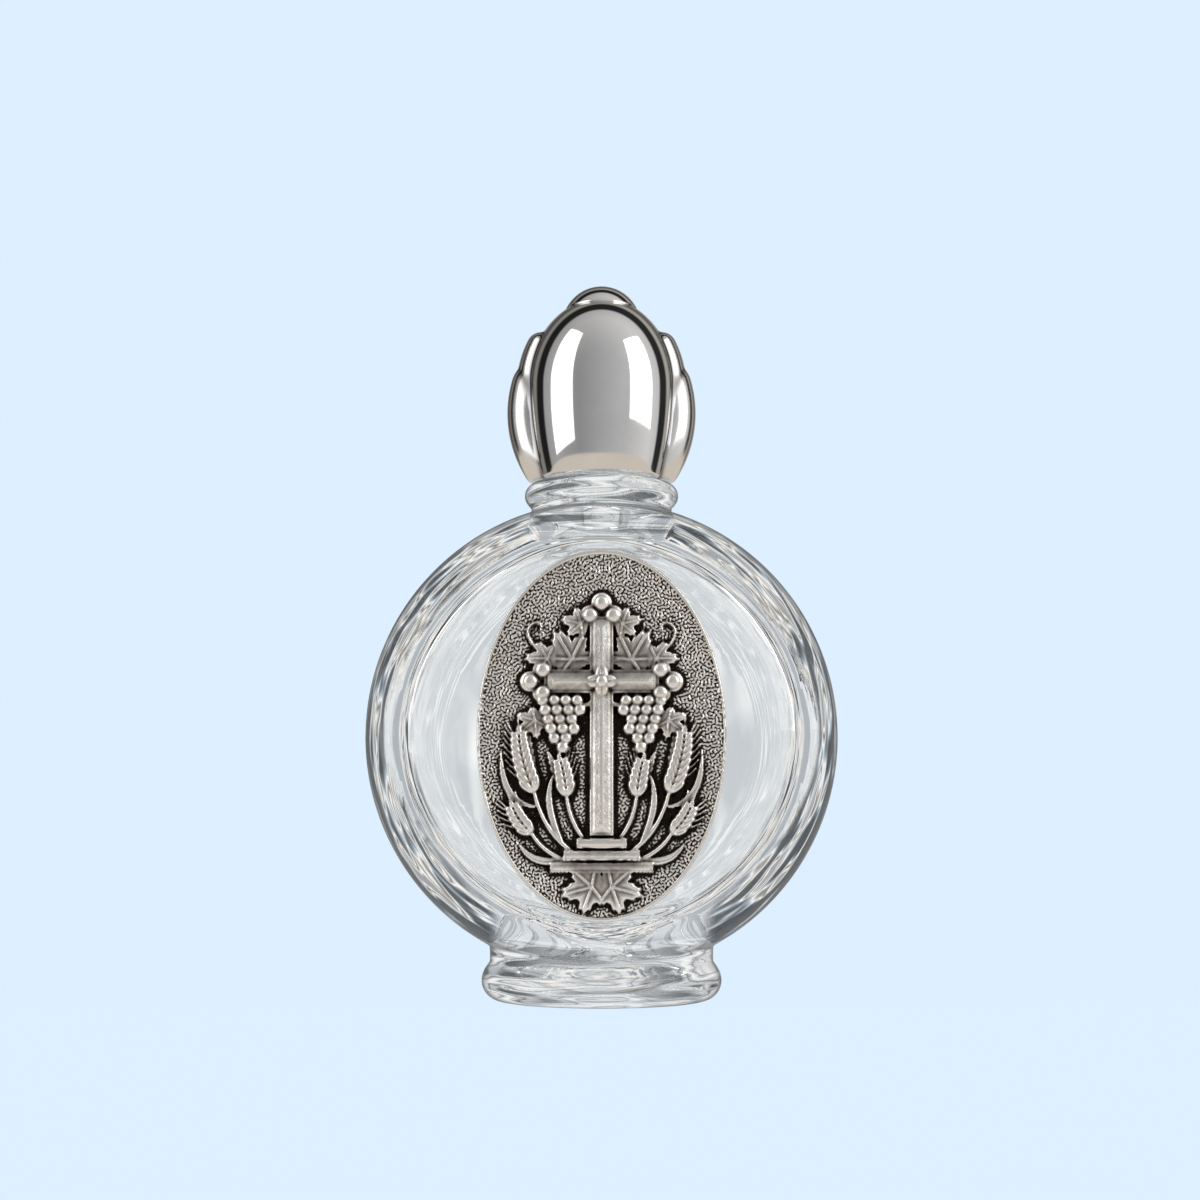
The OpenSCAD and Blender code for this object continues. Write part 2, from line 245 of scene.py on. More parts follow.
class Nodes:
    """A shader tree with short calls to add and join nodes."""

    def __init__(self, tree: bpy.types.NodeTree) -> None:
        """Starts from an empty tree."""
        self.tree = tree
        self.tree.nodes.clear()

    def add(self, kind: str, inputs: dict | None = None, **settings: object) -> bpy.types.Node:
        """Adds a node.

        Args:
            kind: The node's type name without its ShaderNode prefix, or in full for a group's own nodes.
            inputs: Socket names or numbers, each with a value or an output socket to join. Colours are triples.
            **settings: Properties of the node.

        Returns:
            The new node.
        """
        node = self.tree.nodes.new(kind if kind.startswith("Node") else "ShaderNode" + kind)
        for name, value in settings.items():
            setattr(node, name, value)
        for key, value in (inputs or {}).items():
            socket = node.inputs[key]
            if isinstance(value, Socket):
                self.tree.links.new(value, socket)
            else:
                socket.default_value = (*value, 1.0) if socket.type == "RGBA" else value
        return node

    def out(self, kind: str, inputs: dict | None = None, **settings: object) -> Socket:
        """Adds a node and returns its first output."""
        return self.add(kind, inputs, **settings).outputs[0]

    def math(self, operation: str, *values: Value) -> Socket:
        """Adds a Math node and returns its output."""
        return self.out("Math", dict(enumerate(values)), operation=operation)

    def times(self, a: Value, b: Value) -> Socket:
        """Product of two values."""
        return self.math("MULTIPLY", a, b)

    def greater(self, a: Value, b: Value) -> Socket:
        """Greater of two values."""
        return self.math("MAXIMUM", a, b)

    def vector(self, operation: str, *values: Socket | Triple) -> Socket:
        """Adds a Vector Math node and returns the output that its operation fills."""
        outputs = self.add("VectorMath", dict(enumerate(values)), operation=operation).outputs
        return outputs["Value" if operation in ("DISTANCE", "LENGTH") else "Vector"]

    def stretched(self, parts: Sequence[Socket], factors: Triple) -> Socket:
        """Vector of three values, each times its own factor."""
        return self.out("CombineXYZ", {i: self.times(*pair) for i, pair in enumerate(zip(parts, factors))})

    def remap(self, value: Socket, start: float, end: float, low: Value = 0.0, high: Value = 1.0) -> Socket:
        """Brings a stretch of values between two limits, and holds them there beyond it.

        Args:
            value: Output to read.
            start: Value that gives low.
            end: Value that gives high.
            low: First limit.
            high: Second limit.

        Returns:
            The limited output.
        """
        return self.out("MapRange", {"Value": value, "From Min": start, "From Max": end, "To Min": low, "To Max": high})

    def noise(self, where: Socket, detail: float, scale: float = 1.0) -> Socket:
        """Adds a noise and returns its value."""
        return self.out("TexNoise", {"Vector": where, "Scale": scale, "Detail": detail})

    def attribute(self, name: str) -> Socket:
        """Reads a value that the mesh keeps at its points."""
        return self.add("Attribute", attribute_name=name).outputs["Fac"]

    def mix(self, factor: Value, a: Socket | Triple, b: Socket | Triple) -> Socket:
        """Mixes two colours by the share of the second."""
        return self.add("Mix", {0: factor, 6: a, 7: b}, data_type="RGBA").outputs[2]

    def glow(self, colour: Socket | Triple, strength: float = 1.0) -> Socket:
        """Adds a shader that gives off a colour."""
        return self.out("Emission", {"Color": colour, "Strength": strength})

    def blend(self, share: Socket, a: Socket, b: Socket) -> Socket:
        """Mixes two shaders by the share of the second."""
        return self.out("MixShader", {0: share, 1: a, 2: b})

    def ramp(self, value: Socket, stops: Stops) -> Socket:
        """Adds a colour ramp.

        Args:
            value: Output that runs along the ramp.
            stops: Positions with their colours.

        Returns:
            The ramp's colour output.
        """
        node = self.add("ValToRGB", {0: value})
        elements = node.color_ramp.elements
        while len(elements) < len(stops):
            elements.new(1.0)
        for element, (position, colour) in zip(elements, stops):
            element.position = position
            element.color = (*colour, 1.0)
        return node.outputs["Color"]

    def uneven(self, where: Socket, scale: float, low: float = 0.0, high: float = 1.0, detail: float = 3.0) -> Socket:
        """Places the shared uneven-surface effect.

        Args:
            where: Coordinates to read.
            scale: Noise cells per metre.
            low: Value in the hollows of the noise.
            high: Value on its peaks.
            detail: Number of finer layers.

        Returns:
            The effect's output.
        """
        tree = bpy.data.node_groups.get("uneven_surface") or uneven_group()
        return self.out("Group", {"Vector": where, "Scale": scale, "Detail": detail, "Low": low, "High": high},
                        node_tree=tree)


def uneven_group() -> bpy.types.NodeTree:
    """Builds the shared uneven-surface effect: a noise brought between two limits.

    Returns:
        The node group, with a vector, a scale, a detail and the two limits as inputs.
    """
    tree = bpy.data.node_groups.new("uneven_surface", "ShaderNodeTree")
    tree.interface.new_socket("Vector", in_out="INPUT", socket_type="NodeSocketVector")
    for name in ("Scale", "Detail", "Low", "High"):
        tree.interface.new_socket(name, in_out="INPUT", socket_type="NodeSocketFloat")
    tree.interface.new_socket("Value", in_out="OUTPUT", socket_type="NodeSocketFloat")
    hollow, peak, fineness = 0.3, 0.7, 0.6
    nodes = Nodes(tree)
    given = nodes.add("NodeGroupInput").outputs
    inputs = {name: given[name] for name in ("Vector", "Scale", "Detail")}
    noise = nodes.out("TexNoise", {**inputs, "Roughness": fineness})
    nodes.add("NodeGroupOutput", {"Value": nodes.remap(noise, hollow, peak, given["Low"], given["High"])})
    return tree


def new_material(name: str) -> tuple[Material, Nodes, Socket]:
    """Makes a material with an empty tree.

    Args:
        name: Name of the material.

    Returns:
        The material, its nodes and the piece's own coordinates.
    """
    material = bpy.data.materials.new(name)
    material.use_nodes = True
    nodes = Nodes(material.node_tree)
    return material, nodes, nodes.add("TexCoord").outputs["Object"]


@dataclass(frozen=True)
class Finish:
    """A surface finish: its name and the noise that breaks up its gloss."""

    name: str
    grain: float
    gloss_low: float
    gloss_high: float

    def make(self) -> Material:
        """Builds the material.

        Returns:
            The new material.
        """
        material, nodes, where = new_material(self.name)
        nodes.add("OutputMaterial", {"Surface": self.shader(nodes, where)})
        return material

    def shader(self, nodes: Nodes, where: Socket) -> Socket:
        """Builds the shader at those coordinates; each finish has its own."""
        return self.principled(nodes, where, {})

    def gloss(self, nodes: Nodes, where: Socket) -> Socket:
        """Roughness that the finish's grain breaks up."""
        return nodes.uneven(where, self.grain, self.gloss_low, self.gloss_high)

    def principled(self, nodes: Nodes, where: Socket, inputs: dict, bump: Socket | None = None,
                   depth: float = 0.0) -> Socket:
        """Adds the main shader.

        Args:
            nodes: The material's nodes.
            where: Coordinates to read.
            inputs: Inputs of the shader; without a roughness it takes the finish's own.
            bump: Height that shapes the normals, from 0 to 1.
            depth: What a height of 1 stands for, in metres.

        Returns:
            The shader's output.
        """
        if "Roughness" not in inputs:
            inputs["Roughness"] = self.gloss(nodes, where)
        if bump is not None:
            inputs["Normal"] = nodes.out("Bump", {"Height": bump, "Distance": depth, "Strength": 1.0})
        return nodes.out("BsdfPrincipled", inputs)


@dataclass(frozen=True)
class ClearGlass(Finish):
    """Pressed clear glass with the mould's long ripples in its rim and with painted streaks of reflection, in metres.

    Painted streaks of reflection run round the rim, by angle, depth and distance from the body's middle, and level
    round the neck and the foot; a dark outline is painted where the glass is seen edge-on. A pair is the stretch over
    which a share or a shade grows.
    """

    tint: Triple = (0.985, 0.992, 0.99)
    bend: float = 1.5
    middle: Triple = (0.0, 0.0, 0.02553)
    ripple: float = 0.000007
    ripple_cells: float = 900.0
    ripple_detail: float = 2.0
    ripple_stretch: Triple = (0.0030, 2.4, 1.6)
    # Grey glow painted in where light has mirrored inside the glass too often
    painted_trapped_light: Triple = (0.44, 0.47, 0.50)
    trapped_depth: float = 6.5
    mirror_weight: float = 1.75
    # Painted dark outline where the glass is seen at a grazing angle, and how far it reaches
    outline: Triple = (0.12, 0.125, 0.13)
    outline_facing: Pair = (0.76, 0.92)
    outline_share: float = 0.85
    outline_at_ends: float = 0.1
    drawn: float = 0.9
    rim_stretch: Triple = (2.8, 200.0, 1500.0)
    rim_drift: float = 0.0006
    rim_detail: float = 1.5
    rim_contrast: float = 1.6
    rim_low: Pair = (-0.016, -0.004)
    rim_shade: Pair = (-0.4, -0.3)
    rim_edge: Pair = (0.0078, 0.0092)
    rim_slant: Pair = (0.4, 0.64)
    level_stretch: Triple = (115.0, 115.0, 1050.0)
    level_detail: float = 0.7
    # Colours of the painted reflection streaks round the rim
    painted_rim_streaks: Stops = (
        (0.33, (0.06, 0.065, 0.07)), (0.40, (0.15, 0.165, 0.18)), (0.445, (0.32, 0.39, 0.45)),
        (0.48, (0.62, 0.64, 0.655)), (0.505, (0.95, 0.96, 0.97)), (0.53, (0.70, 0.69, 0.67)),
        (0.555, (0.47, 0.42, 0.355)), (0.59, (0.19, 0.19, 0.185)), (0.625, (0.55, 0.56, 0.57)),
        (0.66, (1.0, 0.98, 0.94)), (0.71, (0.35, 0.36, 0.37)))
    # Colours of the painted level streaks round the neck and the foot
    painted_level_streaks: Stops = (
        (0.39, (0.07, 0.075, 0.08)), (0.43, (0.36, 0.38, 0.40)), (0.46, (0.50, 0.52, 0.53)),
        (0.485, (0.06, 0.065, 0.07)), (0.51, (0.62, 0.60, 0.56)), (0.545, WHITE), (0.59, (0.95, 0.96, 0.97)),
        (0.625, (0.20, 0.215, 0.235)), (0.66, (0.90, 0.88, 0.84)))
    # How much of the glass the painted level streaks cover, by their noise
    covers: Sequence[Pair] = (
        (0.40, 1.0), (0.44, 0.25), (0.465, 0.15), (0.485, 1.0), (0.505, 0.15), (0.525, 0.15), (0.55, 0.9), (0.585, 0.7),
        (0.605, 0.15), (0.625, 0.9), (0.65, 0.3))

    def shader(self, nodes: Nodes, where: Socket) -> Socket:
        """Builds rippled glass with a painted grey glow where light has mirrored too often, and painted streaks of
        reflection shown to the camera.

        Args:
            nodes: The material's nodes.
            where: Coordinates to read.

        Returns:
            The shader's output.
        """
        part = nodes.add("SeparateXYZ", {0: nodes.vector("SUBTRACT", where, self.middle)}).outputs
        turn = nodes.math("ARCTAN2", part["X"], part["Z"])
        squares = (nodes.times(part["X"], part["X"]), nodes.times(part["Z"], part["Z"]))
        span = nodes.math("SQRT", nodes.math("ADD", *squares))
        drawn = nodes.stretched((turn, part["Y"], span), self.ripple_stretch)
        waves = nodes.uneven(drawn, self.ripple_cells, detail=self.ripple_detail)
        inputs = {"Base Color": self.tint, "Transmission Weight": 1.0, "IOR": self.bend}
        clear = self.principled(nodes, where, inputs, nodes.times(waves, nodes.attribute("moulded")), self.ripple)
        # Painted light: paths that have bounced too often give off a flat grey glow
        path = nodes.add("LightPath").outputs
        mirrored = nodes.greater(path["Ray Depth"], nodes.times(path["Glossy Depth"], self.mirror_weight))
        often = nodes.math("GREATER_THAN", mirrored, self.trapped_depth)
        colour, share = self.streaks(nodes, part, turn, span)
        # The painted streaks and outline are shown to camera rays only, as a glow
        return nodes.blend(nodes.times(share, path[RayKind.CAMERA.value]),
                           nodes.blend(often, clear, nodes.glow(self.painted_trapped_light)), nodes.glow(colour))

    def streaks(self, nodes: Nodes, part: Sockets, turn: Socket, span: Socket) -> tuple[Socket, Socket]:
        """Paints the bright and dark streaks of reflection that thick glass gathers from the room, with a dark outline
        at grazing angles.

        Args:
            nodes: The material's nodes.
            part: Coordinates from the middle of the body.
            turn: Angle round the middle of the body.
            span: Distance from the middle of the body.

        Returns:
            Colour of the painted streaks and outline, and how much of the glass they cover.
        """
        streaked, banded = nodes.attribute("streaked"), nodes.attribute("banded")
        at_ends = nodes.math("GREATER_THAN", banded, streaked)
        drift = nodes.math("ADD", span, nodes.times(turn, self.rim_drift))
        round_rim = nodes.noise(nodes.stretched((turn, part["Y"], drift), self.rim_stretch), self.rim_detail)
        # The painted streaks darken towards the bottom of the rim
        shade = nodes.remap(part["Z"], *self.rim_low, *self.rim_shade)
        varied = nodes.math("ADD", nodes.times(round_rim, self.rim_contrast), shade)
        level = nodes.noise(nodes.stretched([part[axis] for axis in "XYZ"], self.level_stretch), self.level_detail)
        colour = nodes.mix(at_ends, nodes.ramp(varied, self.painted_rim_streaks), nodes.ramp(level, self.painted_level_streaks))
        cover = nodes.ramp(level, [(position, (share, share, share)) for position, share in self.covers])
        # Painted dark outline where the glass turns edge-on to the camera
        facing = nodes.add("LayerWeight", {"Blend": 0.5}).outputs["Facing"]
        grazing = nodes.math("ADD", facing, nodes.times(at_ends, self.outline_at_ends))
        outline = nodes.remap(grazing, *self.outline_facing, 0.0, self.outline_share)
        on_edge = nodes.remap(nodes.math("ABSOLUTE", part["Y"]), *self.rim_edge)
        round_share = nodes.times(streaked, nodes.greater(on_edge, nodes.remap(facing, *self.rim_slant)))
        share = nodes.times(nodes.greater(nodes.times(banded, cover), round_share), self.drawn)
        return nodes.mix(outline, colour, self.outline), nodes.greater(share, outline)


@dataclass(frozen=True)
class BrightPlating(Finish):
    """Polished plating with a faintly warm tone and the haze of handling, softer on the lobes, with painted shade in
    its creases.
    """

    tone: Triple = (0.86, 0.845, 0.825)
    haze: Triple = (0.80, 0.785, 0.765)
    # Colour of the painted shade in the creases between the lobes and the body
    crease_shade: Triple = (0.10, 0.095, 0.09)
    smudges: float = 260.0
    satin: float = 0.12

    def shader(self, nodes: Nodes, where: Socket) -> Socket:
        """Builds the plating, which reads the lobes and the painted crease shade from the shell's own attributes.

        Args:
            nodes: The material's nodes.
            where: Coordinates to read.

        Returns:
            The shader's output.
        """
        tone = nodes.mix(nodes.uneven(where, self.smudges, detail=4.0), self.tone, self.haze)
        # Painted shade darkens the creases beside and between the lobes
        tone = nodes.mix(nodes.attribute("recess"), tone, self.crease_shade)
        soft = nodes.times(nodes.attribute("satin"), self.satin)
        rough = nodes.math("ADD", self.gloss(nodes, where), soft)
        return self.principled(nodes, where, {"Base Color": tone, "Metallic": 1.0, "Roughness": rough})


@dataclass(frozen=True)
class AntiqueSilver(Finish):
    """Silver plating darkened in its recesses and rubbed bright on its high points."""

    dark: Triple = (0.018, 0.014, 0.011)
    worn: Triple = (0.33, 0.30, 0.265)
    bright: Triple = (0.96, 0.925, 0.87)
    stain: float = 0.09
    stain_cells: float = 1500.0
    levels: Triple = (0.12, 0.45, 0.8)
    polish: Pair = (0.1, 0.8)
    pit: float = 0.000012

    def shader(self, nodes: Nodes, where: Socket) -> Socket:
        """Builds the silver, which reads its rubbing from the casting's own attribute.

        Args:
            nodes: The material's nodes.
            where: Coordinates to read.

        Returns:
            The shader's output.
        """
        stain = nodes.uneven(where, self.stain_cells, -self.stain, self.stain, 5.0)
        level = nodes.math("ADD", nodes.attribute("rubbed"), stain)
        colour = nodes.ramp(level, tuple(zip(self.levels, (self.dark, self.worn, self.bright))))
        rough = nodes.remap(level, *self.polish, self.gloss_high, self.gloss_low)
        return self.principled(nodes, where, {"Base Color": colour, "Metallic": 1.0, "Roughness": rough},
                               nodes.uneven(where, self.grain, detail=4.0), self.pit)


@dataclass(frozen=True)
class SoftPlastic(Finish):
    """Moulded plastic, resin or foam: a pale colour, a second one in the grain and a fine texture."""

    colour: Triple = (0.86, 0.86, 0.84)
    shade: Triple = (0.82, 0.82, 0.80)
    texture: float = 0.00002
    clear: float = 0.0
    glow: float = 0.0
    bend: float = 1.46

    def shader(self, nodes: Nodes, where: Socket) -> Socket:
        """Builds the plastic, whose glow stands for the light that passes through it.

        Args:
            nodes: The material's nodes.
            where: Coordinates to read.

        Returns:
            The shader's output.
        """
        grain = nodes.uneven(where, self.grain, detail=4.0)
        colour = nodes.mix(grain, self.shade, self.colour)
        inputs = {"Base Color": colour, "Transmission Weight": self.clear, "IOR": self.bend}
        inputs |= {"Emission Color": colour, "Emission Strength": self.glow}
        return self.principled(nodes, where, inputs, grain, self.texture)


@dataclass(frozen=True)
class DiscSection:
    """A flat-faced disc that stands on its rim: crowned rim, rounded edges, and a power of 2 if it is round."""

    rim_r: float
    flat_r: float
    half_depth: float
    edge_r: float
    power: float = 2.0

    def rim_at(self, depth: Array) -> Array:
        """Radius of the disc at each depth.

        Args:
            depth: Distances from the disc's middle plane.

        Returns:
            The radii.
        """
        out = self.rim_r - self.flat_r
        edge_y = self.half_depth - self.edge_r
        crown = (out ** 2 + edge_y ** 2 - self.edge_r ** 2) / (2.0 * (out - self.edge_r))
        join = edge_y * crown / (crown - self.edge_r)
        on_crown = self.rim_r - crown + np.sqrt(np.maximum(crown ** 2 - depth ** 2, 0.0))
        on_edge = self.flat_r + np.sqrt(np.maximum(self.edge_r ** 2 - (depth - edge_y) ** 2, 0.0))
        return np.where(depth <= join, on_crown, on_edge)

    def reach(self, angle: Array, height: Array) -> Array:
        """Distance from the upright axis to the disc's skin.

        Args:
            angle: Directions round the upright axis, in radians.
            height: Heights above the disc's middle.

        Returns:
            The distances, 0 where the disc isn't reached.
        """
        across, deep = np.abs(np.cos(angle)), np.abs(np.sin(angle))
        level = np.abs(height) ** self.power

        def inside(span: Array) -> Array:
            """Tells which of those distances lie in the disc."""
            return (span * across) ** self.power + level <= self.rim_at(span * deep) ** self.power

        beyond = 1.5 * self.rim_r
        limit = np.minimum(self.half_depth / np.maximum(deep, TINY), beyond)
        return np.where(np.abs(height) < self.rim_r, furthest(inside, np.zeros_like(angle), limit), 0.0)

    def columns(self, angle: Array, crowding: float) -> Array:
        """Moves evenly spaced directions towards the rounded edges.

        Args:
            angle: Even directions, in radians.
            crowding: How much more the turning of the outline counts than its length.

        Returns:
            The moved directions.
        """
        even = np.linspace(0.0, TURN, FINE_STEPS + 1)
        x, y, _ = polar_rows(self.reach(even, np.zeros_like(even)), even, even).T
        along = np.hypot(np.diff(x), np.diff(y))
        heading = np.unwrap(np.arctan2(np.diff(y), np.diff(x)))
        turning = np.abs(np.diff(heading, append=heading[0] + TURN))
        weight = along / along.sum() + crowding * turning / turning.sum() + EVEN_SHARE / len(along)
        share = np.concatenate(([0.0], np.cumsum(weight))) / weight.sum()
        return np.interp(np.mod(angle, TURN) / TURN, share, even)


@dataclass(frozen=True)
class Screw:
    """The two-start screw between the neck and the insert."""

    lead: float = 4.0
    starts: int = 2
    height: float = 0.42
    width: float = 0.5
    flank: float = 0.06
    fade: float = 0.9

    def rise(self, angle: Array, level: Array, ends: Pair, offset: float) -> Array:
        """Height of the thread above its root.

        Args:
            angle: Directions round the axis, in radians.
            level: Heights along the axis.
            ends: Heights at which the thread starts and stops.
            offset: Shift along the thread as a share of its pitch.

        Returns:
            The heights, 0 between the turns.
        """
        pitch = self.lead / self.starts
        phase = np.mod(level / pitch - self.starts * angle / TURN + offset, 1.0)
        ridge = 1.0 - ease(0.25 * self.width, 0.5 * self.width + self.flank, np.abs(phase - 0.5))
        start, stop = ends
        return self.height * ridge * within((start, start + self.fade), (stop - self.fade, stop), level)


@dataclass(frozen=True)
class GlassZones:
    """Where the glass is rippled and where it shows painted streaks; a pair is the stretch over which a share changes.
    """

    body_z: float = 25.53
    ripple_rim: Pair = (17.8, 20.0)
    ripple_neck: Pair = (8.0, 11.5)
    ripple_foot: Pair = (11.649, 14.149)
    ripple_back: Pair = (0.0, 5.0)
    ripple_front: float = 0.3
    rim_r: float = 20.2
    rim_dip: float = 1.3
    rim_soft: float = 0.25
    rim_depth: Pair = (2.5, 5.5)
    beside_neck: Pair = (6.0, 7.6)
    beside_foot: Pair = (8.649, 10.649)
    foot_top: Pair = (5.6, 7.0)
    foot_sides: Pair = (4.0, 9.5)
    foot_middle: float = 0.55
    neck_low: Pair = (43.4, 44.6)
    neck_top: Pair = (50.2, 50.6)
    neck_sides: Pair = (3.0, 6.0)
    neck_middle: float = 0.8
    flare_top: Pair = (46.0, 47.2)
    flare_sides: Pair = (5.5, 8.0)

    def moulded(self, points: Array) -> Array:
        """Share of the mould's ripples: on the rim only, clear of the neck and the foot.

        Args:
            points: Rows of x, y, z.

        Returns:
            Values from 0 to 1.
        """
        x, height = np.abs(points[:, 0]), points[:, 2] - self.body_z
        clear = np.where(height > 0.0, ease(*self.ripple_neck, x), ease(*self.ripple_foot, x))
        return ease(*self.ripple_rim, np.hypot(x, height)) * clear

    def streaked(self, points: Array) -> Array:
        """Share of the painted reflection streaks that run round the body, which reach further in at its diagonals.

        Args:
            points: Rows of x, y, z.

        Returns:
            Values from 0 to 1.
        """
        x, y, height = np.abs(points[:, 0]), np.abs(points[:, 1]), points[:, 2] - self.body_z
        start = self.rim_r - self.rim_dip * np.sin(2.0 * np.arctan2(x, height)) ** 2
        rim = ease(start - self.rim_soft, start + self.rim_soft, np.hypot(x, height)) * ease(*self.rim_depth, y)
        return rim * np.where(height > 0.0, ease(*self.beside_neck, x), ease(*self.beside_foot, x))

    def banded(self, points: Array) -> Array:
        """Share of the painted level streaks round the foot and the neck.

        Args:
            points: Rows of x, y, z.

        Returns:
            Values from 0 to 1.
        """
        x, z = np.abs(points[:, 0]), points[:, 2]
        foot = (1.0 - ease(*self.foot_top, z)) * partly(self.foot_middle, self.foot_sides, x)
        neck = within(self.neck_low, self.neck_top, z) * partly(self.neck_middle, self.neck_sides, x)
        return np.maximum(foot, neck * np.maximum(ease(*self.flare_top, z), 1.0 - ease(*self.flare_sides, x)))


@dataclass
class GlassFlask:
    """The pressed-glass flask: foot, round body, neck and screw finish, with its hollow."""

    body: DiscSection = DiscSection(23.0, 18.5, 11.0, 3.2)
    hollow: DiscSection = DiscSection(20.1, 16.0, 8.6, 3.4, 1.92)
    body_z: float = 25.53
    rows_half: float = 17.2
    foot_r: float = 11.649
    roll_r: float = 1.9
    waist_r: float = 10.85
    waist_h: float = 5.25
    waist_top: float = 8.3
    waist_lead: float = 0.3
    waist_flat: float = 0.2
    waist_rise: Pair = (2.6, 4.6)
    punt_r: float = 7.5
    punt_h: float = 1.8
    base_top: float = 3.0
    neck_r: float = 6.95
    neck_low: float = 42.9
    neck_z: float = 47.4548
    neck_lead: float = 0.1
    bead_r: float = 1.15
    bead_out: float = 7.6
    bead_z: float = 49.3548
    shelf_rs: Triple = (5.8, 5.2, 4.7)
    finish_r: float = 4.05
    root_r: float = 0.3
    thread_ends: Pair = (51.4, 58.0)
    lip_z: float = 58.9048
    lip_r: float = 0.5
    bore_r: float = 3.0
    throat_r: float = 3.0
    throat_low: float = 43.4
    shrink: float = 0.9
    body_blend: float = 0.9
    hollow_blend: float = 0.8
    roll_blend: float = 0.8
    bead_blend: float = 0.5
    crowding: float = 0.8
    column_pull: float = 1.3
    faces_round: int = 228
    outer_mark: float = 10.0
    inner_mark: float = 60.0
    screw: Screw = Screw()
    zones: GlassZones = GlassZones()

    @property
    def throat_z(self) -> float:
        """Height of the flare's mouth, just below the roof of the hollow."""
        roof = math.sqrt(self.hollow.rim_r ** 2 - (self.bore_r + self.throat_r) ** 2)
        return self.body_z + roof - self.throat_r / 10.0

    def outer_outline(self) -> Outline:
        """Half outline of the outside, from the middle of the base up to the lip.

        Returns:
            Pairs of radius and height, with a radius of 0 where the disc of the body decides.
        """
        ball = arc_radius(self.punt_r, self.punt_h)
        line = [(r, self.punt_h - ball + math.sqrt(ball ** 2 - r ** 2)) for r in np.linspace(0.0, self.punt_r, 12)]
        roll_x = self.foot_r - self.roll_r
        line += [(self.punt_r + (roll_x - self.punt_r) * t, 0.0) for t in (0.2, 0.6)]
        line += ring_arc((roll_x, self.roll_r), self.roll_r, -90.0, 0.0, 14)
        line += [(self.foot_at(z), z) for z in np.linspace(self.roll_r + CLEAR, self.waist_top, 44)]
        line += [(0.0, z) for z in self.body_z - self.rows_half * np.cos(np.linspace(0.0, math.pi, 62))]
        line += [(self.neck_at(z), z) for z in np.linspace(self.neck_low, self.bead_z - 0.02, 56)]
        line += ring_arc((self.bead_out - self.bead_r, self.bead_z), self.bead_r, 0.0, 90.0, 12)
        shelf_z, root_x = self.bead_z + self.bead_r, self.finish_r + self.root_r
        line += [(r, shelf_z) for r in (*self.shelf_rs, root_x)]
        line += ring_arc((root_x, shelf_z + self.root_r), self.root_r, -112.5, -180.0, 4)
        low, high = shelf_z + self.root_r + CLEAR, self.lip_z - self.lip_r - CLEAR / 2
        line += [(self.finish_r, z) for z in np.linspace(low, high, 62)]
        return line + ring_arc((self.finish_r - self.lip_r, self.lip_z - self.lip_r), self.lip_r, 0.0, 90.0, 7)

    def inner_outline(self) -> Outline:
        """Half outline of the inside, from the lip down the bore to the bottom of the hollow.

        Returns:
            Pairs of radius and height, with a radius of 0 where the hollow's own disc decides.
        """
        line = ring_arc((self.bore_r + self.lip_r, self.lip_z - self.lip_r), self.lip_r, 95.0, 180.0, 7)
        flare_top = self.throat_z + self.throat_r
        line += [(self.bore_r, z) for z in np.linspace(self.lip_z - 1.0, flare_top + CLEAR, 20)]
        start = math.acos((self.throat_low - 0.2 - self.body_z) / self.hollow.rim_r)
        down = self.body_z + self.hollow.rim_r * np.cos(np.linspace(start, math.pi, 86))
        for heights in (np.linspace(flare_top, self.throat_low, 32), down):
            line += [(self.bore_at(z), z) for z in heights]
        return line

    def foot_at(self, z: float) -> float:
        """Radius of the foot and the waist at a height.

        Args:
            z: The height.

        Returns:
            The radius, which shrinks away inside the body.
        """
        roll = self.foot_r - self.roll_r + math.sqrt(max(self.roll_r ** 2 - (z - self.roll_r) ** 2, 0.0))
        roll = roll if z < 2.0 * self.roll_r else 0.0
        waist = self.waist_r - self.shrink * max(0.0, z - self.waist_h + self.waist_lead)
        return float(smooth_max(np.array(roll), max(waist, 0.0), self.roll_blend))

    def neck_at(self, z: float) -> float:
        """Radius of the neck and the lower half of the bead at a height.

        Args:
            z: The height.

        Returns:
            The radius, which shrinks away inside the body.
        """
        bead = self.bead_out - self.bead_r + math.sqrt(max(self.bead_r ** 2 - (z - self.bead_z) ** 2, 0.0))
        bead = bead if z > self.bead_z - self.bead_r else 0.0
        neck = self.neck_r - self.shrink * max(0.0, self.neck_z - self.neck_lead - z)
        return float(smooth_max(np.array(bead), max(neck, 0.0), self.bead_blend))

    def bore_at(self, z: float) -> float:
        """Radius of the bore's flare where it opens into the hollow.

        Args:
            z: The height.

        Returns:
            The radius, which shrinks away inside the hollow.
        """
        fall = min(self.throat_z + self.throat_r - z, self.throat_r)
        flare = self.bore_r + self.throat_r - math.sqrt(self.throat_r ** 2 - max(fall, 0.0) ** 2)
        return max(flare - self.shrink * max(0.0, self.throat_z - z), 0.0)

    def is_inner(self, points: Array) -> Array:
        """Tells which of the spun points carry the mark of the inside."""
        return np.hypot(points[:, 0], points[:, 1]) > self.inner_mark - 0.01

    def place(self, points: Array) -> Array:
        """Moves the spun rings on to the flask's skin.

        Args:
            points: Rows of x, y, z, with the mark of the outside or inside added to each radius.

        Returns:
            The moved rows.
        """
        z, inside = points[:, 2], self.is_inner(points)
        height = z - self.body_z
        round_r = np.hypot(points[:, 0], points[:, 1]) - np.where(inside, self.inner_mark, self.outer_mark)
        even = np.mod(np.arctan2(points[:, 1], points[:, 0]), TURN)
        pull = np.clip(self.column_pull * (1.0 - (height / self.body.rim_r) ** 2), 0.0, 1.0)
        angle = even + pull * (self.body.columns(even, self.crowding) - even)
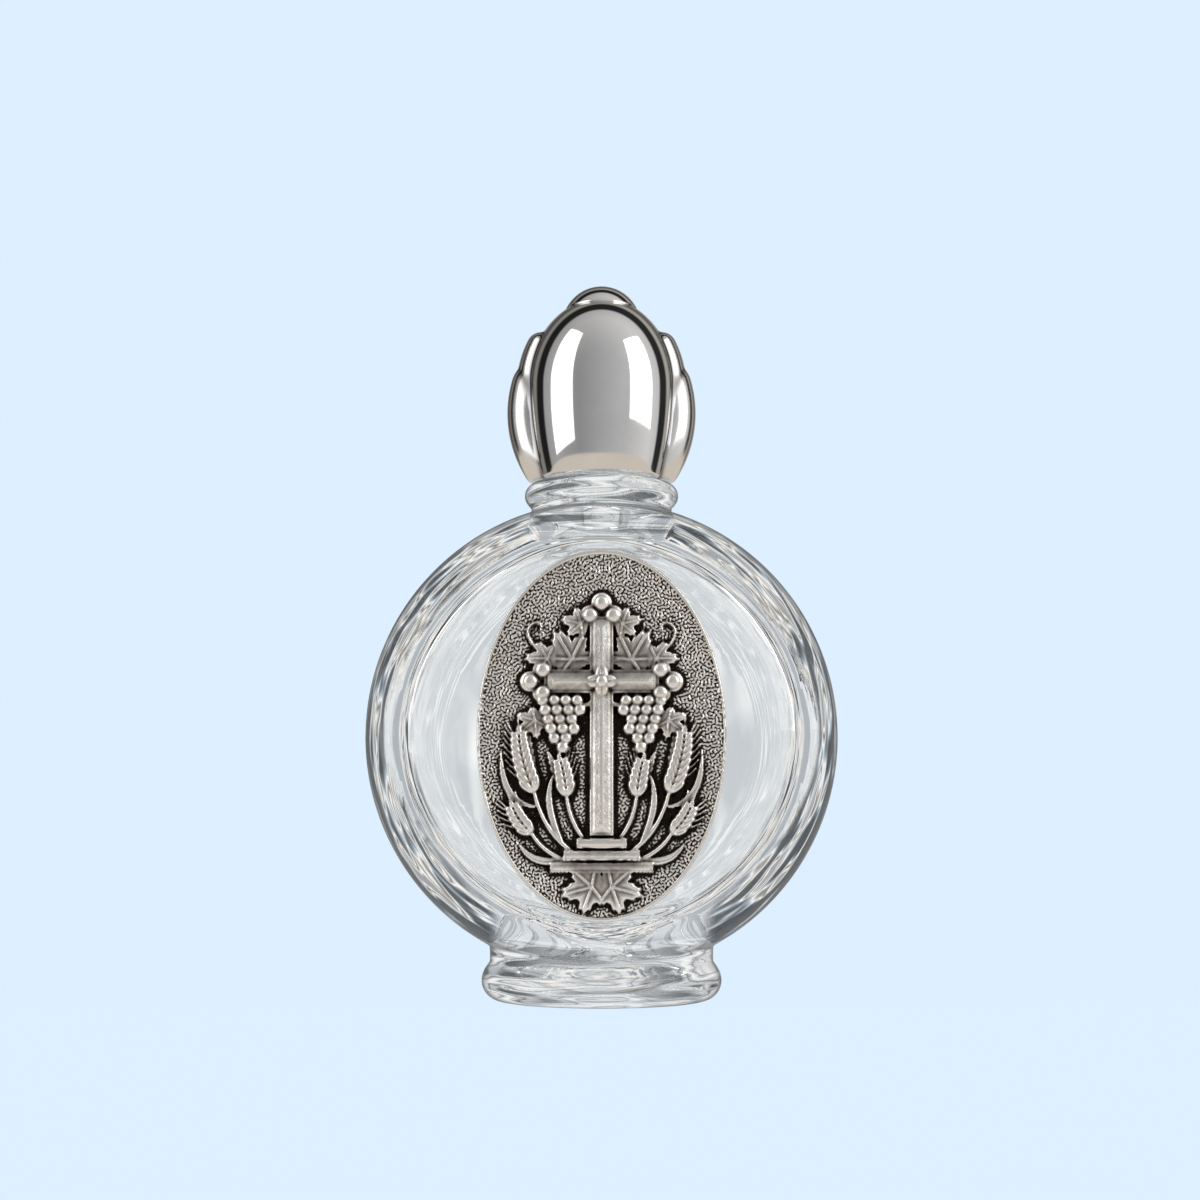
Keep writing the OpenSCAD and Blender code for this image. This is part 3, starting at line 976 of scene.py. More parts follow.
        # The waist is flatter in front and behind than at its sides
        front = np.sin(angle) ** 2 * (height < 0.0) * ~inside
        round_r = round_r * (1.0 - self.waist_flat * front * ease(*self.waist_rise, z))
        skin = smooth_max(self.body.reach(angle, height), round_r, self.body_blend)
        wall = smooth_max(self.hollow.reach(angle, height), round_r, self.hollow_blend)
        # The middles of the base and of the hollow's floor stay points
        plain = (round_r < 1e-5) & ((z < self.base_top) | (inside & (height < 1e-3 - self.hollow.rim_r)))
        plain |= (z < self.roll_r + 0.05) | (z > self.bead_z)
        reach = np.where(plain, round_r, np.where(inside, wall, skin))
        threaded = ~inside & (np.abs(round_r - self.finish_r) < TOUCH)
        return polar_rows(reach + threaded * self.screw.rise(angle, z, self.thread_ends, 0.0), angle, z)

    def build(self) -> Piece:
        """Builds the flask as one closed skin.

        Returns:
            The flask.
        """
        piece = Piece("pressed_glass_flask", "glass_flask", Body.FLASK, "clear_glass", 60.0)
        line = [(r + self.outer_mark, z) for r, z in self.outer_outline()]
        line += [(r + self.inner_mark, z) for r, z in self.inner_outline()]
        piece.spin(line, self.faces_round)
        inside = self.is_inner(piece.points())
        piece.move_to(self.place(piece.points()))
        points = piece.points()
        faint = np.where(inside, 1.0, partly(self.zones.ripple_front, self.zones.ripple_back, points[:, 1]))
        piece.paint("moulded", self.zones.moulded(points) * faint)
        # Masks of the painted reflection streaks
        piece.paint("streaked", self.zones.streaked(points) * ~inside)
        piece.paint("banded", self.zones.banded(points) * ~inside)
        return piece


@dataclass(frozen=True)
class Bar:
    """A bent bar at the cap's side, the same on both sides.

    It has a furthest point at a reach and a height, an outer curve, the half width and half depth of an oval section,
    and ends in degrees round the curve.
    """

    reach: float
    z: float
    curve: float
    thick: float
    deep: float
    low: float
    high: float

    def distance(self, points: Array) -> Array:
        """Distance to the bar.

        Args:
            points: Rows of x, y, z.

        Returns:
            The distances, negative inside.
        """
        bend = self.curve - self.thick
        x, up = np.abs(points[:, 0]) - (self.reach - self.curve), points[:, 2] - self.z
        angle = np.clip(np.arctan2(up, x), math.radians(self.low), math.radians(self.high))
        away = (x - bend * np.cos(angle)) ** 2 + (up - bend * np.sin(angle)) ** 2
        return np.sqrt(away + (points[:, 1] * self.thick / self.deep) ** 2) - self.thick


@dataclass
class ScrewCap:
    """The plated cap: lobed shell, button, threaded insert and sealing disc."""

    edge_z: float = 50.8048
    wide_z: float = 60.0048
    wide_r: float = 7.45
    dome_h: float = 9.25
    edge_r: float = 6.1
    insert_r: float = 5.2
    insert_bore: float = 4.65
    insert_low: float = 51.1048
    insert_top: float = 60.9048
    thread_ends: Pair = (51.7, 58.2)
    chamfer: float = 0.3
    bevel: float = 0.12
    mouth: float = 0.15
    corner: float = 0.05
    lip_z: float = 58.9048
    seal_top: float = 59.9048
    seal_r: float = 4.57
    seal_edge: float = 0.15
    dent: Sequence[Pair] = ((2.8, 0.0), (2.9, 0.04), (3.1, 0.07), (3.85, 0.07), (4.1, 0.04), (4.2, 0.0))
    seat_r: float = 3.8
    button_r: float = 3.7
    button_h: float = 2.5499
    button_edge: float = 0.3
    button_foot: Sequence[Pair] = ((0.13, 0.2), (0.34, 0.14), (0.36, 0.0))
    stem_r: float = 1.3
    stem_h: float = 3.0
    stem_gap: float = 0.3
    stem_taper: float = 0.25
    centre_z: float = 58.0
    far: float = 30.0
    nearest: float = 3.0
    widest: float = 16.0
    lobe_blend: float = 0.12
    crease: float = 0.28
    edge_blend: float = 0.3
    # Strength and widths of the painted shade in the creases
    crease_dark: float = 0.85
    crease_beside: float = 0.2
    crease_between: float = 0.12
    satin_rise: Pair = (0.02, 0.35)
    edge_turn: float = 16.0
    socket_edge: float = 0.6
    shell_faces: int = 288
    insert_faces: int = 160
    turned_faces: int = 128
    screw: Screw = Screw()

    @property
    def seat_z(self) -> float:
        """Height of the flat that the button sits on."""
        return self.wide_z + self.dome_h * math.sqrt(1.0 - (self.seat_r / self.wide_r) ** 2)

    @property
    def lower_bar(self) -> Bar:
        """The long lobe."""
        return Bar(reach=9.375, z=self.wide_z - 2.25, curve=12.2, thick=2.7, deep=2.6, low=-62.0, high=16.0)

    @property
    def upper_bar(self) -> Bar:
        """The crest above it."""
        return Bar(reach=8.45, z=self.wide_z + 0.5, curve=10.0, thick=1.5, deep=2.5, low=-10.0, high=27.0)

    def egg_distance(self, points: Array) -> Array:
        """Distance to the egg-shaped body.

        Args:
            points: Rows of x, y, z.

        Returns:
            The distances, negative inside.
        """
        r, up = np.hypot(points[:, 0], points[:, 1]), points[:, 2] - self.wide_z
        barrel = arc_radius(self.wide_z - self.edge_z, self.wide_r - self.edge_r)
        dome = np.hypot(r, up * self.wide_r / self.dome_h) - self.wide_r
        belly = np.hypot(r - self.wide_r + barrel, up) - barrel
        return np.where(up > 0.0, dome, belly)

    def lobe_distance(self, points: Array) -> Array:
        """Distance to the side lobes, negative inside."""
        return smooth_min(self.lower_bar.distance(points), self.upper_bar.distance(points), self.lobe_blend)

    def shell_distance(self, points: Array) -> Array:
        """Distance to the shell's outside, negative inside."""
        whole = smooth_min(self.egg_distance(points), self.lobe_distance(points), self.crease)
        return smooth_max(whole, self.edge_z - points[:, 2], self.edge_blend)

    def recesses(self, points: Array) -> Array:
        """How much painted shade each point gets in a crease beside or between the lobes.

        Args:
            points: Rows of x, y, z.

        Returns:
            Values from 0 to 1.
        """
        lower, upper = self.lower_bar.distance(points), self.upper_bar.distance(points)
        lobe, egg = np.minimum(lower, upper), self.egg_distance(points)
        between = bell(lower - upper, self.crease_between) * (lobe < egg)
        return self.crease_dark * np.maximum(bell(egg - lobe, self.crease_beside), between)

    def place_shell(self, points: Array) -> Array:
        """Draws the far points in, along rays from the cap's middle, to the shell's outside.

        Args:
            points: Rows of x, y, z, far from the middle where they belong to the outside.

        Returns:
            The moved rows.
        """
        middle = np.array((0.0, 0.0, self.centre_z))
        span = np.linalg.norm(points - middle, axis=1)
        ray = (points - middle) / span[:, None]

        def inside(tried: Array) -> Array:
            """Tells which of those distances lie in the shell."""
            return self.shell_distance(ray * tried[:, None] + middle) < 0.0

        skin = furthest(inside, np.full(len(points), self.nearest), np.full(len(points), self.widest))
        return ray * np.where(np.abs(span - self.far) < 1e-3, skin, span)[:, None] + middle

    def shell(self) -> Piece:
        """Builds the lobed shell with its socket and its button hole.

        Returns:
            The shell.
        """
        piece = Piece("lobed_cap_shell", "cap_shell", Body.CAP, "cap_plating")
        top = math.degrees(math.atan2(self.seat_z - self.centre_z, self.seat_r))
        low = -math.degrees(math.atan2(self.centre_z - self.edge_z, self.insert_r))
        edge = low + self.edge_turn
        hole_z = self.seat_z - self.stem_h - self.stem_gap
        line = [(0.0, hole_z), (self.stem_r, hole_z), (self.stem_r, self.seat_z), (2.0 * self.stem_r, self.seat_z)]
        line += ring_arc((0.0, self.centre_z), self.far, top, edge, 96)
        line += ring_arc((0.0, self.centre_z), self.far, edge - 0.5, low, 30)
        line += [(self.insert_r, z) for z in np.linspace(self.edge_z + self.socket_edge, self.insert_top, 8)]
        line += [(0.0, self.insert_top)]
        piece.spin(line, self.shell_faces)
        piece.move_to(self.place_shell(piece.points()))
        points = piece.points()
        piece.paint("satin", ease(*self.satin_rise, self.egg_distance(points) - self.lobe_distance(points)))
        # Painted shade for the creases, which the plating reads
        piece.paint("recess", self.recesses(points))
        return piece

    def button(self) -> Piece:
        """Builds the domed button with its stem.

        Returns:
            The button.
        """
        piece = Piece("cap_top_button", "cap_button", Body.CAP, "button_plating")
        ball = arc_radius(self.button_r, self.button_h)
        centre = self.seat_z + self.button_h - ball
        foot = math.degrees(math.asin((self.seat_z + self.button_edge - centre) / ball))
        line = ring_arc((0.0, centre), ball, 90.0, foot, 40)
        line += [(self.button_r - inset, self.seat_z + up) for inset, up in self.button_foot]
        low = self.seat_z - self.stem_h
        line += [(self.stem_r, self.seat_z), (self.stem_r, low + self.stem_taper)]
        line += [(self.stem_r - self.stem_taper, low), (0.0, low)]
        piece.spin(line, self.turned_faces)
        return piece

    def insert(self) -> Piece:
        """Builds the insert, with its thread raised inwards from its bore.

        Returns:
            The insert.
        """
        piece = Piece("threaded_insert", "cap_insert", Body.CAP, "insert_plastic", 50.0)
        outer, bore, low, top = self.insert_r, self.insert_bore, self.insert_low, self.insert_top
        line = [(0.0, top), (outer - self.chamfer, top), (outer, top - self.chamfer)]
        line += [(outer, low + self.bevel), (outer - self.bevel, low), (bore + self.mouth, low)]
        line += [(bore, z) for z in np.linspace(low + self.mouth, self.seal_top - self.corner, 84)]
        line += [(bore - self.corner, self.seal_top), (0.0, self.seal_top)]
        piece.spin(line, self.insert_faces)
        x, y, z = piece.points().T
        r, angle = np.hypot(x, y), np.arctan2(y, x)
        thread = self.screw.rise(angle, z, self.thread_ends, 0.5) * (np.abs(r - bore) < TOUCH)
        piece.move_to(polar_rows(r - thread, angle, z))
        return piece

    def seal(self) -> Piece:
        """Builds the sealing disc, with the ring that the lip has pressed into it.

        Returns:
            The disc.
        """
        piece = Piece("sealing_disc", "seal_disc", Body.SEAL, "seal_foam", 50.0)
        low, high, edge_x = self.lip_z, self.seal_top, self.seal_r - self.seal_edge
        line = [(0.0, low)] + [(r, low + deep) for r, deep in self.dent]
        line += ring_arc((edge_x, low + self.seal_edge), self.seal_edge, -90.0, 0.0, 5)
        line += ring_arc((edge_x, high - self.seal_edge), self.seal_edge, 0.0, 90.0, 5) + [(0.0, high)]
        piece.spin(line, self.turned_faces)
        return piece


@dataclass
class Medallion:
    """The cast oval: a stippled ground in a plain rim, with a budded cross, wheat, grapes and vine leaves.

    The relief is worked out on a board of heights, with u across and v up from the oval's middle, in millimetres.
    """

    wide: float = 23.0
    tall: float = 34.3
    thick: float = 1.1
    rim_w: float = 0.35
    rim_h: float = 0.3
    rim_soft: float = 0.06
    rim_bright: float = 0.86
    back_y: float = -11.25
    middle_z: float = 25.13
    pixel: float = 0.06
    margin: float = 0.3
    cross_foot: float = -9.4
    cross_h: float = 20.4
    cross_half: float = 1.2
    reach: float = 5.4
    bud_r: float = 1.05
    step_h: float = 1.1
    step_halves: Triple = (4.8, 3.6, 2.4)
    stalk_bow: float = 14.0
    stalk_x: float = 7.2
    grape_r: float = 0.62
    relief: float = 1.18
    stipple: float = 0.06
    stipple_waves: float = 3.1
    stipple_spread: float = 1.1
    softness: float = 0.045
    edge_scale: float = 1.12
    ground_to: Pair = (0.03, 0.16)
    fine_w: float = 0.3
    broad_w: float = 1.1
    rub_level: Pair = (0.47, 0.08)
    rub_fine: Pair = (3.4, 10.0)
    rub_broad: Pair = (0.55, -0.3)
    grid: tuple[int, int] = (250, 374)
    film_inset: float = 0.8
    film_gap: float = 0.02
    film_thick: float = 0.22
    film_edge: float = 0.08
    film_faces: int = 160
    seat: float = 0.25

    def __post_init__(self) -> None:
        """Lays out the drawing board."""
        half_w, half_t = self.wide / 2 + self.margin, self.tall / 2 + self.margin
        self.u, self.v = np.meshgrid(np.arange(-half_w, half_w, self.pixel), np.arange(-half_t, half_t, self.pixel))
        self.mirror_u = np.abs(self.u)

    @property
    def bar_v(self) -> float:
        """Height of the cross's side arms on the board."""
        return self.cross_foot + 0.7 * self.cross_h

    def filtered(self, board: Array, keep: Callable[[Array], Array]) -> Array:
        """Keeps a share of each fineness of a board.

        Args:
            board: Values on the drawing board.
            keep: Gives the share for each number of waves in a millimetre.

        Returns:
            The filtered board.
        """
        up, across = np.fft.fftfreq(board.shape[0], self.pixel), np.fft.rfftfreq(board.shape[1], self.pixel)
        return np.fft.irfft2(np.fft.rfft2(board) * keep(np.hypot(up[:, None], across)), board.shape)

    def soften(self, board: Array, width: float) -> Array:
        """Blurs a board by a bell curve of that width in millimetres."""
        return self.filtered(board, lambda waves: np.exp(-2.0 * (math.pi * width * waves) ** 2))

    def stipple_ground(self) -> Array:
        """Works out the ground's stipple.

        Returns:
            Short worm-like ridges with no order, from -1 to 1.
        """
        dots = np.random.default_rng(20).standard_normal(self.u.shape)
        worms = self.filtered(dots, lambda waves: bell(waves - self.stipple_waves, self.stipple_spread))
        return np.tanh(2.0 * worms / worms.std())

    @staticmethod
    def dome(distance: Array, radius: float, height: float) -> Array:
        """Rounded bump of that radius and height over a distance board."""
        return height * np.sqrt(np.clip(1.0 - (distance / radius) ** 2, 0.0, 1.0))

    @staticmethod
    def turned(u: Array, v: Array, degrees: float) -> tuple[Array, Array]:
        """Coordinates across and along a direction, given from the up axis towards the right."""
        a = math.radians(degrees)
        return u * math.cos(a) - v * math.sin(a), u * math.sin(a) + v * math.cos(a)

    def seen_from(self, at: Pair, degrees: float) -> tuple[Array, Array]:
        """Coordinates of the mirrored board as seen from a place, across and along a direction."""
        return self.turned(self.mirror_u - at[0], self.v - at[1], degrees)

    def cross(self) -> Array:
        """Works out the budded cross with its ridge and its rosette.

        Returns:
            The cross's heights.
        """
        top = self.cross_foot + self.cross_h
        shaft = np.maximum(self.mirror_u - self.cross_half, np.maximum(self.v - top, self.cross_foot - self.v))
        arms = np.maximum(np.abs(self.v - self.bar_v) - self.cross_half, self.mirror_u - self.reach)
        inside = -np.minimum(shaft, arms)
        beams = 0.46 * ease(0.0, 0.14, inside) + 0.44 * np.clip(inside / self.cross_half, 0.0, 1.0)
        parts = [beams - 0.09 * bell(inside - 0.36, 0.07)]
        for at, degrees in (((0.0, top), 0.0), ((self.reach, self.bar_v), 90.0)):
            x, y = self.seen_from(at, degrees)
            for spot_x, spot_y in ((0.0, 1.15), (-1.05, 0.0), (1.05, 0.0)):
                gap = np.hypot(x - spot_x, y - spot_y)
                parts.append(0.42 * ease(0.0, 0.14, self.bud_r - gap) + self.dome(gap, 0.7, 0.42))
        gap, turn = np.hypot(self.u, self.v - self.bar_v), np.arctan2(self.v - self.bar_v, self.u)
        petal = 1.5 * (0.66 + 0.34 * np.abs(np.cos(2.0 * turn)))
        rosette = 0.86 * ease(0.0, 0.2, petal - gap) + 0.16 * ease(0.0, 0.8, petal - gap)
        rosette -= 0.14 * bell(gap * np.sin(2.0 * turn), 0.12) * ease(0.35, 0.6, gap)
        heart = np.where(gap < 0.46, 1.0 + self.dome(gap, 0.46, 0.18), 0.0)
        return np.maximum.reduce([*parts, np.where(petal > gap, rosette, 0.0), heart])

    def steps(self) -> Array:
        """Works out the three steps under the cross.

        Returns:
            The steps' heights.
        """
        height = np.zeros_like(self.u)
        for i, half in enumerate(self.step_halves):
            low = self.cross_foot - (3 - i) * self.step_h
            inside = np.minimum(half - self.mirror_u, np.minimum(self.v - low, low + self.step_h - self.v))
            tread = (0.5 + 0.18 * i) * ease(0.0, 0.12, inside) - 0.08 * bell(inside - 0.3, 0.06)
            height = np.maximum(height, tread)
        return height

    def ear(self, at: Pair, degrees: float, bow: float, rows: int, size: float) -> Array:
        """Works out one ear of wheat and its mirror image: grains in pairs along a bow, each with its awn.

        Args:
            at: Where the ear starts.
            degrees: Direction in which it starts, from up towards the right.
            bow: How far each pair turns back towards the upright, in degrees.
            rows: Number of pairs.
            size: Length of a grain.

        Returns:
            The ear's heights.
        """
        height = np.zeros_like(self.u)
        spot, way = np.array(at), degrees
        for i in range(rows + 1):
            plump = size * (1.0 - 0.35 * (i / rows) ** 2)
            for side in ((-1, 1) if i < rows else (0,)):
                x, y = self.seen_from(tuple(spot), way + 25.0 * side)
                x, y = x - 0.11 * side, y - 0.9 * plump
                fit = np.sqrt((x / (0.5 * plump)) ** 2 + (y / plump) ** 2)
                grain = 0.3 * ease(0.0, 0.2, 1.0 - fit) + self.dome(fit, 1.0, 0.52) - 0.15 * bell(x, 0.07) * (fit < 0.9)
                off, along = np.abs(x + 0.05 * side * y), (y - 0.6 * plump) / (1.9 * plump)
                thin = 0.13 - 0.06 * np.clip(along, 0.0, 1.0)
                on_awn = (along > 0.0) & (along < 1.0) & (off < thin)
                awn = np.where(on_awn, 0.14 + self.dome(off, 0.13, 0.2), 0.0)
                height = np.maximum.reduce([height, np.where(fit < 1.0, grain, 0.0), awn])
            turn = math.radians(way)
            spot = spot + 0.74 * plump * np.array((math.sin(turn), math.cos(turn)))
            way -= bow
        return height

    def stroke(self, path: Sequence[Pair], widths: Triple, height: float, crease: float = 0.0) -> Array:
        """Works out a curved stem or blade and its mirror image.

        Args:
            path: Start, control point and end of its curve.
            widths: Half width at its start, middle and end.
            height: Height of its back above the ground.
            crease: Depth of the line along its middle.

        Returns:
            The stroke's heights.
        """
        board = np.zeros_like(self.u)
        stops = np.column_stack((path, widths))
        for t in np.linspace(0.0, 1.0, 150):
            x, y, half = np.array(((1 - t) ** 2, 2 * t * (1 - t), t * t)) @ stops
            near = (np.abs(self.mirror_u - x) < half) & (np.abs(self.v - y) < half)
            gap = np.hypot(self.mirror_u[near] - x, self.v[near] - y)
            back = np.where(gap < half, 0.3 * height + self.dome(gap, half, 0.7 * height), 0.0)
            board[near] = np.maximum(board[near], back)
        return board - crease * (board > 0.985 * height)

    def wheat(self) -> Array:
        """Works out the sheaves: three bowed ears a side, with their stalks and long blades.

        Returns:
            The sheaves' heights.
        """
        angle = math.radians(-22.0)
        tall = (self.stalk_x - self.stalk_bow + self.stalk_bow * math.cos(angle), self.stalk_bow * math.sin(angle))
        low, inner = (6.4, -9.0), (3.2, -5.6)
        return np.maximum.reduce([
            self.stroke(((1.5, -11.4), (5.2, -9.6), tall), (0.26, 0.26, 0.22), 0.42),
            self.ear(tall, 24.0, 2.6, 8, 0.98),
            self.stroke(((1.9, -11.9), (5.2, -11.2), low), (0.26, 0.25, 0.2), 0.38),
            self.ear(low, 47.0, 5.2, 5, 0.82),
            self.stroke(((1.6, -9.6), (3.0, -7.8), inner), (0.24, 0.24, 0.2), 0.4),
            self.ear(inner, 6.0, -2.0, 5, 0.88),
            self.stroke(((2.6, -11.2), (6.2, -12.4), (7.6, -9.9)), (0.2, 0.62, 0.05), 0.36, 0.1),
            self.stroke(((3.6, -9.9), (5.6, -6.2), (4.3, -3.4)), (0.2, 0.58, 0.05), 0.4, 0.1),
            self.stroke(((6.2, -6.6), (9.3, -6.2), (9.2, -1.4)), (0.15, 0.6, 0.05), 0.36, 0.1)])

    def grapes(self) -> Array:
        """Works out the two bunches of grapes that hang from the arms.

        Returns:
            The bunches' heights.
        """
        height = np.zeros_like(self.u)
        for row, count in enumerate((4, 4, 3, 3, 2, 1)):
            for i in range(count):
                x = 3.7 + (i - (count - 1) / 2) * 1.05 + 0.12 * (-1) ** row
                gap = np.hypot(self.mirror_u - x, self.v - (self.bar_v - 1.75 - 0.86 * row))
                berry = 0.26 + 0.04 * (row % 2) + self.dome(gap, self.grape_r, 0.52)
                height = np.maximum(height, np.where(gap < self.grape_r, berry, 0.0))
        return height

    def leaf(self, at: Pair, degrees: float, size: float) -> Array:
        """Works out one five-lobed vine leaf and its mirror image.

        Args:
            at: Where the leaf's stalk joins it.
            degrees: Direction of its tip, from up towards the right.
            size: Length of its middle lobe.

        Returns:
            The leaf's heights.
        """
        x, y = self.seen_from(at, degrees)
        turn = np.degrees(np.arctan2(x, y))
        reach, veins, between = np.full_like(x, 0.24), np.zeros_like(x), np.zeros_like(x)
        for way, length, spread in ((0.0, 1.0, 29.0), (-56.0, 0.88, 26.0), (56.0, 0.88, 26.0), (-114.0, 0.68, 30.0),
                                    (114.0, 0.68, 30.0)):
            reach = np.maximum(reach, 0.42 + (length - 0.42) * bell(turn - way, spread))
            off, along = self.turned(x, y, way)
            veins = np.maximum(veins, bell(off, 0.035 * size) * (along > 0.0))
            between = np.maximum(between, bell(off, 0.13 * size) * (along > 0.0))
        fit = np.hypot(x, y) / (size * reach * (1.0 + 0.05 * np.sin(np.radians(26.0 * turn))))
        height = 0.06 + 0.3 * ease(0.0, 0.14, 1.0 - fit) + self.dome(fit, 1.0, 0.2)
        height += (0.2 * veins - 0.17 * between) * (1.0 - ease(0.75, 0.98, fit))
        return np.where(fit < 1.0, height, 0.0)

    def vine(self) -> Array:
        """Works out the vine that hangs over the cross's arms, with its leaves and tendrils, and the leaf at the foot.

        Returns:
            The vine's heights.
        """
        stems = (((0.9, 2.9), (2.6, 2.2), (3.6, 3.5), (0.28, 0.3, 0.24), 0.5),
                 ((1.0, 6.7), (2.2, 7.4), (2.6, 6.6), (0.24, 0.26, 0.2), 0.5),
                 ((2.6, 6.6), (5.0, 6.7), (6.3, 8.3), (0.24, 0.22, 0.14), 0.44),
                 ((6.3, 8.3), (7.3, 9.6), (6.3, 10.3), (0.14, 0.14, 0.12), 0.34),
                 ((6.3, 10.3), (5.4, 10.5), (5.6, 9.6), (0.12, 0.12, 0.12), 0.34))
        leaves = (((2.75, 6.9), 30.0, 3.1), ((6.1, 1.3), 128.0, 2.0), ((1.9, 10.2), 74.0, 1.9), ((5.0, 7.0), 88.0, 2.1),
                  ((0.9, -13.9), 104.0, 2.9))
        return np.maximum.reduce([self.stroke(stem[:3], *stem[3:]) for stem in stems]
                                 + [self.leaf(*leaf) for leaf in leaves])

    def heights(self) -> tuple[Array, Array]:
        """Works out the whole face.

        Returns:
            Heights above the ground, and how far each spot is rubbed bright, from 0 to 1.
        """
        raised = np.maximum.reduce([self.cross(), self.steps(), self.wheat(), self.grapes(), self.vine()])
        raised = self.soften(raised, self.softness)
        oval = np.hypot(2.0 * self.u / self.wide, 2.0 * self.v / self.tall)
        edge = (1.0 - oval) * 0.5 * self.wide * self.edge_scale
        ground = 1.0 - ease(*self.ground_to, raised)
        inner = raised + self.stipple * self.stipple_ground() * ground
        rim = self.rim_h * within((0.0, 0.1), (self.rim_w - self.rim_soft, self.rim_w + self.rim_soft), edge)
        height = np.where(edge < self.rim_w + self.rim_soft, rim, inner)
        proud, broad = inner - self.soften(inner, self.fine_w), inner - self.soften(inner, self.broad_w)
        # Each share has a value on the raised work and what the ground adds to it
        shares = (self.rub_level, self.rub_fine, self.rub_broad)
        level, fine_share, broad_share = (work + more * ground for work, more in shares)
        rubbed = level + fine_share * proud + broad_share * broad
        rubbed = np.where(edge < self.rim_w, self.rim_bright, rubbed)
        return np.minimum(height, self.relief), np.clip(rubbed, 0.0, 1.0)

    def sample(self, board: Array, u: Array, v: Array) -> Array:
        """Reads a board between its points.

        Args:
            board: Values on the drawing board.
            u: Coordinates across.
            v: Coordinates up.

        Returns:
            The values there.
        """
        i = np.clip((v - self.v[0, 0]) / self.pixel, 0, board.shape[0] - 1.001)
        j = np.clip((u - self.u[0, 0]) / self.pixel, 0, board.shape[1] - 1.001)
        i0, j0 = i.astype(int), j.astype(int)
        fi, fj = i - i0, j - j0
        low = board[i0, j0] * (1 - fj) + board[i0, j0 + 1] * fj
        high = board[i0 + 1, j0] * (1 - fj) + board[i0 + 1, j0 + 1] * fj
        return low * (1 - fi) + high * fi

    def casting(self) -> Piece:
        """Builds the casting: a fine grid drawn to an oval, raised, and given an edge and a back.

        Returns:
            The medallion.
        """
        piece = Piece("cast_medallion", "medallion", Body.FLASK, "antique_silver", 55.0)
        bmesh.ops.create_grid(piece.mesh, x_segments=self.grid[0], y_segments=self.grid[1], size=1.0)
        x, y, _ = piece.points().T
        u, v = self.wide / 2 * x * np.sqrt(1.0 - y ** 2 / 2.0), self.tall / 2 * y * np.sqrt(1.0 - x ** 2 / 2.0)
        height, rubbed = self.heights()
        piece.move_to(np.column_stack((u, v, self.thick + self.sample(height, u, v))))
        piece.paint("rubbed", self.sample(rubbed, u, v))
        rim = [e for e in piece.mesh.edges if e.is_boundary]
        wall = bmesh.ops.extrude_edge_only(piece.mesh, edges=rim)["geom"]
        for vert in (g for g in wall if isinstance(g, bmesh.types.BMVert)):
            vert.co.z = 0.0
        bmesh.ops.holes_fill(piece.mesh, edges=[e for e in piece.mesh.edges if e.is_boundary], sides=0)
        piece.stand_up(self.back_y, self.middle_z)
        return piece

    def adhesive(self) -> Piece:
        """Builds the film of adhesive behind the casting, with its uneven edge.

        Returns:
            The film.
        """
        piece = Piece("adhesive_film", "medallion_adhesive", Body.FLASK, "clear_adhesive")
        bmesh.ops.create_circle(piece.mesh, cap_ends=True, segments=self.film_faces, radius=1.0)
        x, y, _ = piece.points().T
        turn = np.arctan2(y, x)
        wave = 0.985 + 0.006 * np.sin(7.0 * turn + 0.6) + 0.005 * np.sin(19.0 * turn)
        half_w, half_t = self.wide / 2 - self.film_inset, self.tall / 2 - self.film_inset
        piece.move_to(np.column_stack((x * half_w * wave, y * half_t * wave, np.full_like(x, self.film_gap))))
        film = bmesh.ops.extrude_face_region(piece.mesh, geom=piece.mesh.faces[:])["geom"]
        lifted = [g for g in film if isinstance(g, bmesh.types.BMVert)]
        bmesh.ops.translate(piece.mesh, vec=(0.0, 0.0, self.film_thick), verts=lifted)
        side = [e for e in piece.mesh.edges if abs(e.verts[0].co.z - e.verts[1].co.z) < 1e-6]
        bmesh.ops.bevel(piece.mesh, geom=side, offset=self.film_edge, affect="EDGES", segments=2, profile=0.5,
                        material=-1)
        piece.stand_up(self.back_y + self.seat, self.middle_z)
        return piece


